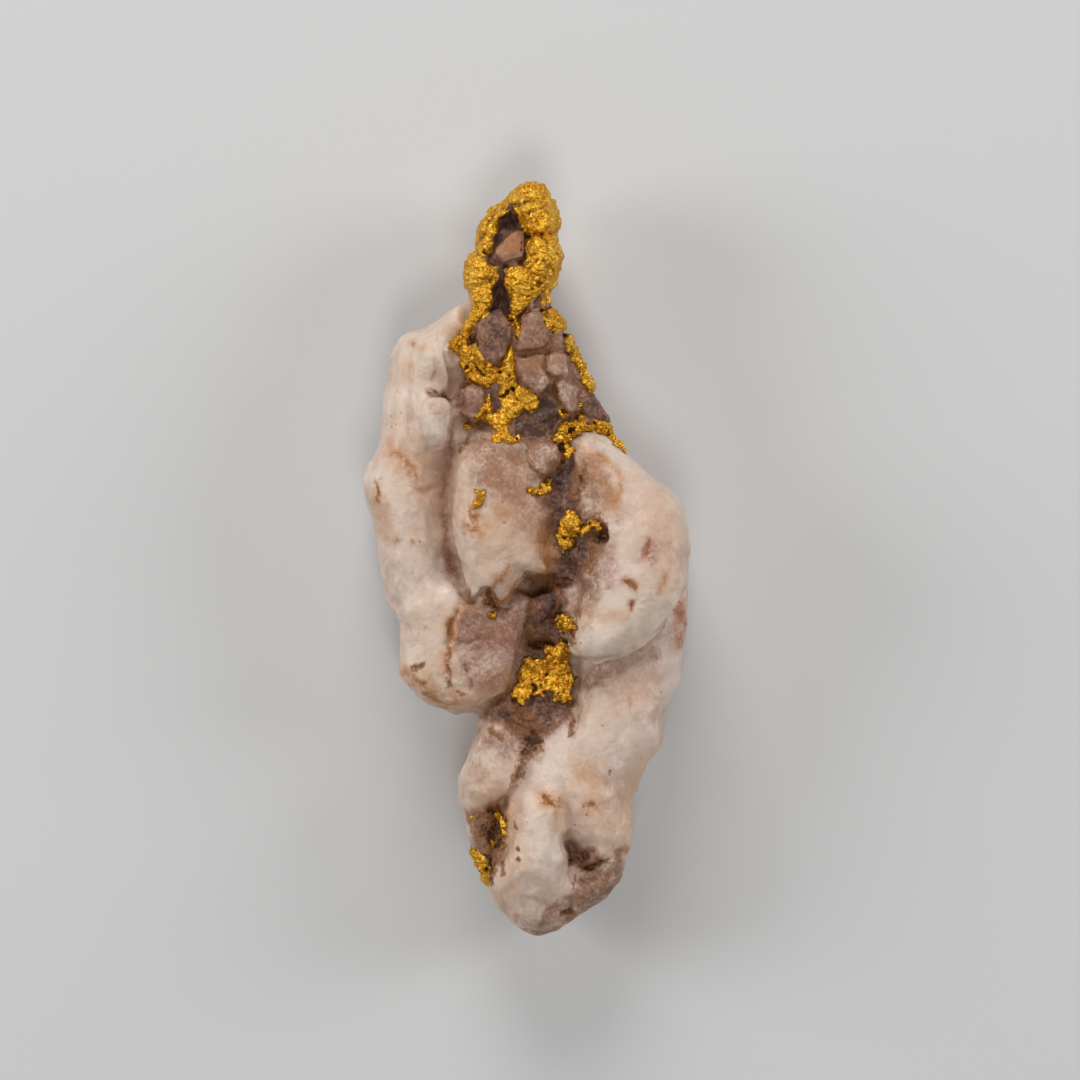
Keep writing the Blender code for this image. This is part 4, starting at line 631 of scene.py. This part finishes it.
def stone_skin():
    """The whole specimen as one closed skin, with the gold's pockets filled."""
    points, faces, start = [], [], 0
    for name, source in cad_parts.items():
        if name == "gold_crown":
            low, high, deep = CROWN_SINK
            sink = ramp(-points_of(source)[:, 1], low, high)[:, None] * np.array([0, 0, -deep])
        elif name == "quartz_matrix":
            sink = 0.0
        else:
            sink = -PATCH_SINK * outward_of(source)
        lump = lump_of(name + "_lump", source, sink)
        lump.data.calc_loop_triangles()
        points.append(points_of(lump))
        faces.append(read(lump.data.loop_triangles, "vertices", 3, np.int32) + start)
        start += len(lump.data.vertices)
        bpy.data.objects.remove(lump)
    stone = new_object("quartz_stone", mesh_of("stone", np.concatenate(points), np.concatenate(faces)))
    applied(add_modifier(stone, "REMESH", mode="VOXEL", voxel_size=CLOSE * MM))
    keep_largest(stone)
    soften(stone, 4)
    set_points(stone, points_of(stone) - normals_of(stone) * CLOSE)
    soften(stone, 6)
    applied(add_modifier(stone, "REMESH", mode="VOXEL", voxel_size=QUARTZ_GRAIN * MM))
    keep_largest(stone)
    return soften(stone, 7)


def trim(points):
    """Pulls in what lies outside the outline, and a little more where gold still comes on top."""
    plan = points[:, :2]
    nearest, far = nearest_on(plan, OUTLINE + OUTLINE[:1])
    inside = is_inside(plan, OUTLINE)
    depth = np.where(inside, far, -far)
    margin = TRIM[0] + TRIM[1] * ramp(plan[:, 1], *COVERED)
    wanted = np.where(depth < 2 * margin, margin + np.maximum(depth, 0) / 2, depth)
    inward = (plan - nearest) * np.where(inside, 1, -1)[:, None] / np.maximum(far, 0.03)[:, None]
    points[:, :2] += inward * (wanted - depth)[:, None] * ramp(far, 0.0, 0.03)[:, None]
    return points


def facet_move(points, normals):
    """Which way each point's broken facet faces, and how far the point moves along that to lie flat on it."""
    size, soft, flatness, most = BROKEN
    first, second, which = cells(points + 0.3 * waves(points, 2.0, 11)[:, None], size, 21)
    _, index = np.unique(which, return_inverse=True)
    count = np.bincount(index)
    middle = np.stack([np.bincount(index, points[:, k]) / count for k in range(3)], axis=1)
    facets = np.stack([np.bincount(index, normals[:, k]) for k in range(3)], axis=1)
    facets /= np.maximum(np.linalg.norm(facets, axis=1, keepdims=True), 1e-6)
    off_plane = np.einsum("ij,ij->i", middle[index] - points, facets[index])
    return facets[index], np.clip(off_plane, -most, most) * (ramp(second - first, 0.0, soft) * flatness)


def jumble_move(plan, points):
    """How far each point is in the dark seam, from 0 to 1, and how far the jumbled crystals stand up there."""
    seam = np.zeros(len(points))
    for channel, strength, blur, outline in ZONES:
        if channel == SMOKE_AND_SHADE and strength > 0.6:
            share = 0.85 if strength > 0.78 else 0.25
            seam = np.maximum(seam, share * ramp(depth_inside(plan, outline), -0.3, blur))
    big, big_high, small, small_high = JUMBLE
    near, further, cell = cells(points + 0.2 * waves(points, 0.8, 27)[:, None], big, 23)
    jumble = big_high * (cell - 0.5) - 0.10 * (1 - ramp(further - near, 0.0, 0.2))
    _, _, cell = cells(points, small, 29)
    return seam, jumble + small_high * (cell - 0.5)


def carve(stone):
    """Moves the skin in and out: broken blocks, valleys, cracks, pits, and the grain of the quartz."""
    points = trim(points_of(stone))
    start, end, pull = TIP_ROUND
    points[:, 1] -= pull * ramp(points[:, 1], start, end) * np.abs((points[:, 2] - TIP_MIDDLE) / TIP_HALF) ** 2.5
    set_points(stone, points)
    soften(stone, 2)
    points = points_of(stone)
    normals = normals_of(stone)
    facing = ramp(normals[:, 2], 0.05, 0.5) * ramp(points[:, 2], *CARVED)
    plan = swayed(points, 0.14, 0.9, (3, 5))
    move = np.zeros(len(points))
    plain = np.zeros(len(points))  # where a crystal face lies
    for rise, tilt_x, tilt_y, _, outline in BLOCKS:
        depth = depth_inside(plan, outline)
        near = np.flatnonzero((depth > -0.6) & (facing > 0.3))
        core = near[depth[near] > 0.15]
        flat = np.column_stack([points[core, :2], np.ones(len(core))])
        plane = np.linalg.lstsq(flat, points[core, 2], rcond=None)[0]
        level = np.column_stack([points[near, :2], np.ones(len(near))]) @ plane
        level += (points[near, :2] - points[core, :2].mean(axis=0)) @ np.array([tilt_x, tilt_y])
        lift = ramp(depth[near], -0.05, 0.25)
        move[near] += lift * (0.8 * (level - points[near, 2]) + rise)
        plain[near] = np.maximum(plain[near], lift)
        move[near] -= 0.15 * np.exp(-(depth[near] + 0.12) ** 2 / 0.02)
    for rise, reach, outline in BULGES:
        inward = np.clip(depth_inside(plan, outline) / reach, 0, 1)
        move += rise * (1 - (1 - inward) ** 2)
    rim = ramp(depth_inside(plan, OUTLINE), 0.1, 1.1)
    for rise, drop, reach, edge, line in LEDGES:
        depth = side_distance(plan, line)
        move += rim * ((rise + drop) * ramp(depth, -edge, edge) - drop) * np.exp(-np.abs(depth) / reach)
    for width, deep, line in GROOVES:
        move -= deep * along(plan, line, width)
    for x, y, half_x, half_y, deep in PITS:
        move -= deep * np.exp(-out_of_middle(plan, x, y, half_x, half_y) ** 1.5)
    move *= facing
    facets, flattened = facet_move(points, normals)
    seam, jumble = jumble_move(plan, points)
    move += seam * facing * jumble * (1 - 0.7 * plain)
    grain = sum(high * waves(points, size, seed, 2) for high, size, seed in GRAINS)
    side = ramp(points[:, 2], *FLAT_SIDE)
    points += normals * ((move + grain * side)[:, None])
    points += facets * (flattened * side)[:, None]
    points[:, 2] = np.maximum(points[:, 2], 0.0)
    set_points(stone, points)
    return soften(stone, 1, 0.35)


def colour_stone(stone):
    """Stores how smoky, rusty, red and dark each point is, where some of the smoke and dark is painted shade, and how
    far it stands out, for painted light on ridges and painted shade in hollows.
    """
    points = points_of(stone)
    even = new_object("even", stone.data.copy())
    # how far each point stands out of the smoothed skin: the material paints ridges lighter and hollows darker, as
    # painted light and shade
    stands_out = np.einsum("ij,ij->i", points - points_of(soften(even, 160)), normals_of(stone))
    bpy.data.objects.remove(even)
    facing = ramp(points[:, 2], *FACE)
    plan = swayed(points, 0.3, 1.3, (61, 67), 3)
    # painted light and shade laid on place by place, over what the ridges and hollows give
    for strength, blur, outline in PAINTED_LIGHT_AND_SHADE:
        stands_out += 0.8 * strength * ramp(depth_inside(plan, outline), -blur, blur) * facing
    store(stone, "ridge", np.clip(0.5 + stands_out / 0.8, 0, 1), "FLOAT", "value")
    shades = np.zeros((len(points), 4))

    def deepen(channel, shade):
        shades[:, channel] = np.maximum(shades[:, channel], shade)

    for channel, strength, blur, outline in ZONES:
        deepen(channel, strength * ramp(depth_inside(plan, outline), -blur, blur) * facing)
    for channel, strength, width, line in STAINS:
        spot = strength * along(plan, line, width * (1.4 if channel == DARK else 1.2)) * facing
        shades[:, channel] = 1 - (1 - shades[:, channel]) * (1 - spot)
    for _, _, _, smoky, outline in BLOCKS:
        depth = depth_inside(plan, outline)
        share = ramp(depth, -0.1, 0.2) * facing
        shades[:, SMOKE_AND_SHADE] += share * (smoky - shades[:, SMOKE_AND_SHADE])
        deepen(DARK, 0.42 * np.exp(-((depth + 0.1) / 0.18) ** 2) * facing)
    back = 1 - facing
    deepen(RUST, 0.55 * ramp(waves(points, 5.0, 71, 3), 0.25, 0.9) * back)
    deepen(SMOKE_AND_SHADE, 0.5 * ramp(waves(points, 6.0, 73, 3), 0.2, 0.9) * back)
    deepen(SMOKE_AND_SHADE, 0.7 * ramp(points[:, 1], 17.0, 20.0) * back)
    store(stone, "shades", shades)


def billow(points, size, seed):
    """Rounded lumps with sharp creases between them, from 0 in a crease to about 1."""
    return np.clip(np.abs(waves(points, size, seed, 2)) * 2.2, 0, 1) ** 0.7


def hackle(points, on_crown):
    """Native gold's rough skin: folded lumps, nodules and holes, and how deep each point is in a crease, which the
    material paints dark brown, partly as dirt and partly as painted shade.
    """
    bent = swayed(points, 0.10, 0.5, (81, 83, 87))
    sizes, (big_high, small_high, fold_high, fine_high), branch_gain = LUMPS[on_crown]
    big, small, fold, fine = (billow(bent, size, seed) for size, seed in zip(sizes, LUMP_SEEDS))
    branch = 1 - ramp(points[:, 1], *BRANCHES) if on_crown else np.ones(len(points))
    height = big_high * big + (small_high + branch_gain * branch) * small
    height = height + fold_high * (1 - fold) + fine_high * (1 - fine)
    first, _, _ = cells(bent, 0.36, 97)
    beads = 1 - np.clip(first * 1.25, 0, 1) ** 2
    rough = ramp(waves(points, 2.2, 99), -0.6, 0.4) * (0.45 + 0.55 * branch)
    holes = ramp(waves(points, 0.75, 101, 2), 0.55, 0.9)
    height += 0.10 * rough * beads
    sunk = (1 - ramp(big, 0.0, 0.30)) * 0.55 + (1 - ramp(small, 0.0, 0.35)) * 0.35
    sunk += ramp(fold, 0.55, 1.0) * (0.25 + 0.15 * branch)
    if on_crown:
        plan = swayed(points, 0.10, 0.5, (103, 107))
        front = ramp(points[:, 2], 8.0, 9.5)
        for x, y, half_x, half_y, rise in CROWN_DOMES:
            height += front * 0.7 * rise * np.clip(1 - out_of_middle(plan, x, y, half_x, half_y), 0, 1)
        for width, deep, line in CROWN_CREASES:
            near = front * along(plan, line, width)
            height -= deep * near
            sunk += near
    return height - 0.25 * holes, np.clip((sunk * (0.6 + 0.4 * rough) + holes) * (0.72 + 0.28 * branch), 0, 1)


def gold_depth(points, floor, outlines, wraps):
    """How far each point is inside the gold, which wraps round the back on the crown. Outside it is negative."""
    plan = swayed(points, 0.12, 0.5, (111, 113))
    depth = np.max([depth_inside(plan, outline) for outline in outlines], axis=0)
    depth += REACH * (1 - ramp(plan[:, 1], *NARROW))
    if not wraps:
        depth += 0.15 * waves(points, 0.55, 119, 2)
    depth = np.minimum(depth, (points[:, 2] - floor - 0.9 * waves(points, 1.5, 121, 3)) / 2)
    if wraps:
        round_back = plan[:, 1] - BACK_EDGE - 0.7 * ramp(-plan[:, 0], 2.5, 4.5) - 0.8 * waves(points, 2.2, 117, 2)
        below = ramp(BACK_TOP - points[:, 2], -0.6, 0.2)
        depth = depth * (1 - below) + np.clip(round_back, -1, 1) * below
    return depth


def gold_skin(stone, name, floor, rise, outlines, wraps):
    """A closed skin of gold over the part of the stone that lies inside the outlines."""
    points = points_of(stone)
    depth = gold_depth(points, floor, outlines, wraps)
    corners = corners_of(stone)
    kept = corners[(depth[corners] > -GOLD_EDGE).any(axis=1)]
    label = patches_of(np.stack((kept, np.roll(kept, 1, axis=1)), axis=-1), len(points))[kept[:, 0]]
    skin = new_object(name, mesh_of(name, points, kept[np.bincount(label)[label] >= SMALLEST_FLECK]))
    levels = 1 if wraps else 2
    applied(add_modifier(skin, "SUBSURF", levels=levels, render_levels=levels))
    points = points_of(skin)
    depth = gold_depth(points, floor, outlines, wraps)
    height, sunk = hackle(points, wraps)
    height *= 0.45 + 0.55 * ramp(depth, 0.1, 0.45)
    cover = ramp(depth, -0.02, 0.22)
    points += normals_of(skin) * (cover * (rise + height + 0.1) - 0.1)[:, None]
    set_points(skin, points)
    # creases, holes and the gold's edge against the stone, painted dark brown: partly dirt, partly painted shade
    store(skin, "sunk", np.maximum(sunk, 1 - ramp(depth, 0.0, 0.16) * 0.9), "FLOAT", "value")
    applied(add_modifier(skin, "SOLIDIFY", thickness=GOLD_WALL * MM, offset=-1.0))
    inner = np.arange(len(skin.data.vertices)) >= len(points)
    return thin(skin, inner | (points_of(skin)[:, 2] < HIDDEN))


# ---- materials

# the quartz: its clouds, painted light on its ridges and painted shade in its hollows, the smoky seam, and what
# stains it
CREAM, MILK = (0.64, 0.47, 0.365, 1), (0.70, 0.57, 0.49, 1)
BUFF, WHITE, SAND = (0.585, 0.405, 0.29, 1), (0.84, 0.73, 0.65, 1), (0.50, 0.35, 0.26, 1)
RIDGE_PAINTED_LIGHT, HOLLOW_PAINTED_SHADE = (0.78, 0.69, 0.58, 1), (0.48, 0.305, 0.205, 1)
# smoky quartz, which also serves as painted shade in a few places
SMOKE_SHADE_BROWN, SMOKE_SHADE_BLACK = (0.285, 0.142, 0.088, 1), (0.068, 0.028, 0.018, 1)
TAN, BROWN, BRICK = (0.52, 0.235, 0.08, 1), (0.28, 0.105, 0.032, 1), (0.31, 0.085, 0.055, 1)
UMBER, BLACK = (0.255, 0.105, 0.036, 1), (0.060, 0.020, 0.005, 1)
HAIRLINE, SPECK = (0.36, 0.17, 0.08, 1), (0.30, 0.13, 0.05, 1)
# the gold, and the dark brown in its pits and creases, partly dirt and partly painted shade
DEEP_GOLD, BRIGHT_GOLD, DIRT_AND_SHADE = (0.79, 0.40, 0.034, 1), (0.94, 0.545, 0.062, 1), (0.16, 0.06, 0.012, 1)


class Nodes:
    """A material, and short ways to build its nodes. Sizes are in millimetres on the object."""

    def __init__(self, name):
        self.material = bpy.data.materials.new(name)
        self.material.use_nodes = True
        self.place = self.add("TexCoord").outputs["Object"]

    def link(self, value, socket):
        if isinstance(value, bpy.types.NodeSocket):
            self.material.node_tree.links.new(value, socket)
        else:
            socket.default_value = value

    def add(self, kind, inputs=(), **settings):
        node = self.material.node_tree.nodes.new("ShaderNode" + kind)
        for key, value in settings.items():
            setattr(node, key, value)
        for key, value in dict(inputs).items():
            self.link(value, node.inputs[key])
        return node

    def noise(self, size, detail=4.0, rough=0.55, warp=0.0):
        return self.add("TexNoise", {"Vector": self.place, "Scale": 1 / (size * MM), "Detail": detail,
                                     "Roughness": rough, "Distortion": warp}).outputs["Fac"]

    def voronoi(self, place, size, **settings):
        return self.add("TexVoronoi", {"Vector": place, "Scale": 1 / (size * MM)}, **settings).outputs

    def vectors(self, kind, *values):
        return self.add("VectorMath", enumerate(values), operation=kind).outputs

    def bent(self, size, amount):
        """The place, moved about by noise."""
        push = self.add("TexNoise", {"Vector": self.place, "Scale": 1 / (size * MM)}).outputs["Color"]
        return self.vectors("MULTIPLY_ADD", push, (amount * MM,) * 3, self.place)[0]

    def math(self, kind, a, b=0.0, c=0.0, clamp=False):
        return self.add("Math", {0: a, 1: b, 2: c}, operation=kind, use_clamp=clamp).outputs[0]

    def step(self, value, low, high, kind="SMOOTHSTEP"):
        """Goes from 0 at low to 1 at high."""
        return self.add("MapRange", {"Value": value, "From Min": low, "From Max": high}, clamp=True,
                        interpolation_type=kind).outputs[0]

    def mix(self, share, a, b):
        return self.add("Mix", {0: share, 6: a, 7: b}, data_type="RGBA", clamp_factor=True).outputs[2]

    def bump(self, height, strength, distance, **under):
        return self.add("Bump", {"Height": height, "Strength": strength, "Distance": distance, **under}).outputs[0]

    def surface(self, inputs):
        """Sets the shader's own inputs."""
        for key, value in inputs.items():
            self.link(value, self.material.node_tree.nodes["Principled BSDF"].inputs[key])
        return self.material


def quartz_material():
    nodes = Nodes("milky_quartz")
    noise, math, step = nodes.noise, nodes.math, nodes.step
    shades = nodes.add("Attribute", attribute_name="shades")
    smoke_and_shade, rust, red = nodes.add("SeparateColor", {0: shades.outputs["Color"]}).outputs
    dark = shades.outputs["Alpha"]
    ridge = nodes.add("Attribute", attribute_name="ridge").outputs["Fac"]
    medium = noise(1.6, 6.0, 0.6, 0.4)
    fine = noise(0.42, 5.0, 0.6)
    grit = noise(0.26, 2.0, 0.5)
    veins = noise(0.75, 8.0, 0.7, 1.2)

    # the smoky seam is granular, like salt and pepper
    uneven = math("MULTIPLY_ADD", veins, 1.3, -0.65)
    uneven = math("ADD", uneven, math("MULTIPLY_ADD", grit, 1.0, -0.5))
    haze_and_shade = math("ADD", smoke_and_shade, math("MULTIPLY_ADD", medium, 0.9, -0.46))
    haze_and_shade = math("ADD", haze_and_shade, math("MULTIPLY", uneven, smoke_and_shade))

    # rust is smudged and speckled, and the dark stains and the painted shade in pits have ragged edges
    smudge = step(noise(1.0, 5.0, 0.6, 0.2), 0.34, 0.56)
    tan = math("MULTIPLY", rust, math("MULTIPLY_ADD", smudge, 0.85, 0.35), clamp=True)
    speckled = math("ADD", tan, math("MULTIPLY_ADD", fine, 0.9, -0.75))
    ragged = math("MULTIPLY_ADD", veins, 3.0, -0.5)
    ragged = math("ADD", ragged, math("MULTIPLY_ADD", grit, 1.6, -0.8))
    crack_and_shade = math("MULTIPLY", dark, ragged)

    # hairlines and specks on the clean quartz
    network = nodes.voronoi(nodes.bent(1.3, 0.9), 4.5, feature="DISTANCE_TO_EDGE")["Distance"]
    hair = math("MULTIPLY", step(network, 0.022, 0.004), step(noise(2.2), 0.53, 0.62))
    specks = nodes.voronoi(nodes.place, 1.0)["Distance"]
    spots = math("MULTIPLY", step(specks, 0.15, 0.06), step(noise(3.2), 0.50, 0.62))

    colour = nodes.mix(step(noise(7.0), 0.35, 0.65), CREAM, MILK)
    for mask, share, shade in (
            (step(noise(2.6, 4.0, 0.5, 0.3), 0.45, 0.70), 0.6, BUFF),
            (step(fine, 0.5, 0.75), 0.25, WHITE),
            (step(grit, 0.45, 0.7), 0.14, SAND),
            # painted light on the ridges and painted shade in the hollows
            (step(ridge, 0.50, 0.85), 0.36, RIDGE_PAINTED_LIGHT),
            (step(ridge, 0.50, 0.15), 0.55, HOLLOW_PAINTED_SHADE),
            # smoky quartz, and painted shade where the smoke channel carries it
            (step(haze_and_shade, 0.02, 0.60), 1, SMOKE_SHADE_BROWN),
            (step(haze_and_shade, 0.50, 1.0), 1, SMOKE_SHADE_BLACK),
            (tan, 1, TAN),
            (step(speckled, 0.22, 0.75), 1, BROWN),
            (step(veins, 0.32, 0.6), red, BRICK),
            # dark stains and cracks, and painted shade in pits and under the tongue
            (step(crack_and_shade, 0.18, 0.50), 0.85, UMBER),
            (step(crack_and_shade, 0.50, 0.90), 1, BLACK),
            (hair, 0.25, HAIRLINE),
            (spots, 0.75, SPECK)):
        colour = nodes.mix(mask if share == 1 else math("MULTIPLY", mask, share), colour, shade)

    dull = math("ADD", crack_and_shade, math("MULTIPLY", smoke_and_shade, 0.35), clamp=True)
    rough = math("MULTIPLY_ADD", fine, 0.30, 0.20)

    # small broken facets, each with its own tilt, under a fine grain
    bent = nodes.bent(0.5, 0.5)
    facet = nodes.voronoi(bent, 0.9)
    across = nodes.vectors("SUBTRACT", bent, facet["Position"])[0]
    tilt = nodes.vectors("SUBTRACT", facet["Color"], (0.5,) * 3)[0]
    chips = nodes.bump(nodes.vectors("DOT_PRODUCT", across, tilt)["Value"], 0.45, 0.5)
    grain = nodes.bump(fine, 0.45, 0.10 * MM, Normal=chips)
    return nodes.surface({
        "Base Color": colour,
        "Roughness": math("ADD", rough, math("MULTIPLY", dull, 0.3), clamp=True),
        "Subsurface Weight": 0.35,
        "Subsurface Radius": (1.0, 0.75, 0.55),
        "Subsurface Scale": 0.7 * MM,
        "IOR": 1.54,
        "Specular IOR Level": 0.32,
        "Normal": nodes.bump(noise(0.17, 3.0, 0.6), 0.45, 0.06 * MM, Normal=grain),
    })


def gold_material():
    nodes = Nodes("native_gold")
    noise, math, step = nodes.noise, nodes.math, nodes.step
    sunk = nodes.add("Attribute", attribute_name="sunk").outputs["Fac"]
    fine = noise(0.22, 4.0, 0.6)
    tone = nodes.add("ValToRGB", {"Fac": noise(1.4, 4.0, 0.6)})
    for stop, position, shade in zip(tone.color_ramp.elements, (0.35, 0.65), (DEEP_GOLD, BRIGHT_GOLD)):
        stop.position = position
        stop.color = shade

    # thin folds in the skin, painted dark as the pits are, partly as dirt and partly as painted shade
    crinkle = step(math("ABSOLUTE", math("SUBTRACT", noise(0.6, 3.0, 0.5, 0.8), 0.5)), 0.045, 0.0, "LINEAR")
    pit = math("MULTIPLY_ADD", crinkle, 0.24, math("ADD", sunk, fine))
    dirt_and_shade = step(pit, 0.86, 1.44, "LINEAR")
    rough = math("MULTIPLY_ADD", fine, 0.30, 0.15)
    grains = nodes.voronoi(nodes.place, 0.26, feature="SMOOTH_F1")["Distance"]
    relief = math("MULTIPLY_ADD", crinkle, -0.9, math("MULTIPLY_ADD", grains, -0.8, fine))
    return nodes.surface({
        # dark brown in pits and creases: partly dirt, partly painted shade
        "Base Color": nodes.mix(dirt_and_shade, tone.outputs[0], DIRT_AND_SHADE),
        "Metallic": 1.0,
        "Roughness": math("MULTIPLY_ADD", dirt_and_shade, 0.35, rough),
        "Normal": nodes.bump(relief, 0.9, 0.11 * MM),
    })


def dress(obj, material, slot, *nodes):
    obj.data.materials.clear()
    obj.data.materials.append(material)
    obj.data.shade_smooth()
    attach(obj, "root")
    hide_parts(*nodes)


# ---- the studio

# each lamp's place, width and power
LAMPS = {
    "key": ((-0.05, 0.40, 0.27), 0.24, 1.14),
    "right": ((0.40, 0.10, 0.22), 0.22, 0.74),
    "left": ((-0.40, 0.06, 0.22), 0.22, 0.82),
    "top": ((0.02, -0.20, 0.56), 0.20, 0.80),
}
LIT = (0.0, 0.0, 0.008)  # what they point at
FLOOR_HALF = 3.0
GREY = (0.62, 0.62, 0.62, 1)
SKY, SKY_POWER = (1.0, 0.98, 0.95, 1), 0.15
EYE = (1.07 * MM, 1.43 * MM, 0.5075)  # looks straight down on the seam face
EYE_TO_FACE = 0.5
FRAME_WIDTH = 0.0857  # at the height of that face
SENSOR = 36.0


def studio():
    half = FLOOR_HALF
    mesh = bpy.data.meshes.new("floor")
    mesh.from_pydata([(-half, -half, 0), (half, -half, 0), (half, half, 0), (-half, half, 0)], [], [(0, 1, 2, 3)])
    mesh.materials.append(Nodes("pale_floor").surface({"Base Color": GREY, "Roughness": 0.8}))
    floor = new_object("floor", mesh)
    world = bpy.data.worlds.new("studio")
    world.use_nodes = True
    world.node_tree.nodes["Background"].inputs["Color"].default_value = SKY
    world.node_tree.nodes["Background"].inputs["Strength"].default_value = SKY_POWER
    bpy.context.scene.world = world
    for name, (place, width, power) in LAMPS.items():
        lamp = bpy.data.lights.new(name, "AREA")
        lamp.shape = "DISK"
        lamp.size = width
        lamp.energy = power
        made = new_object(name, lamp)
        made.location = place
        made.rotation_euler = (Vector(LIT) - Vector(place)).to_track_quat("-Z", "Y").to_euler()
    lens = bpy.data.cameras.new("camera")
    lens.sensor_width = SENSOR
    lens.lens = SENSOR * EYE_TO_FACE / FRAME_WIDTH
    lens.clip_start = 0.01
    camera = new_object("camera", lens)
    camera.location = EYE
    bpy.context.scene.camera = camera
    bpy.context.scene.view_settings.view_transform = "Standard"


stone = carve(stone_skin())
colour_stone(stone)
gold = gold_material()
whole = points_of(stone)
under = np.full(len(whole), -1.0)  # how far inside the gold each point of the stone is
for node, (floor, rise, outlines) in GOLD.items():
    wraps = node == "gold_crown"
    skin = gold_skin(stone, "native_" + node, floor, rise, outlines, wraps)
    dress(skin, gold, "gold", node)
    under = np.maximum(under, gold_depth(whole, floor, outlines, wraps))
set_points(stone, whole - normals_of(stone) * (GOLD_ROOT * ramp(under, 0.05, 0.4))[:, None])
thin(stone, (normals_of(stone)[:, 2] < 0.2) | (under > 0.5))
dress(stone, quartz_material(), "quartz", "quartz_matrix")
studio()
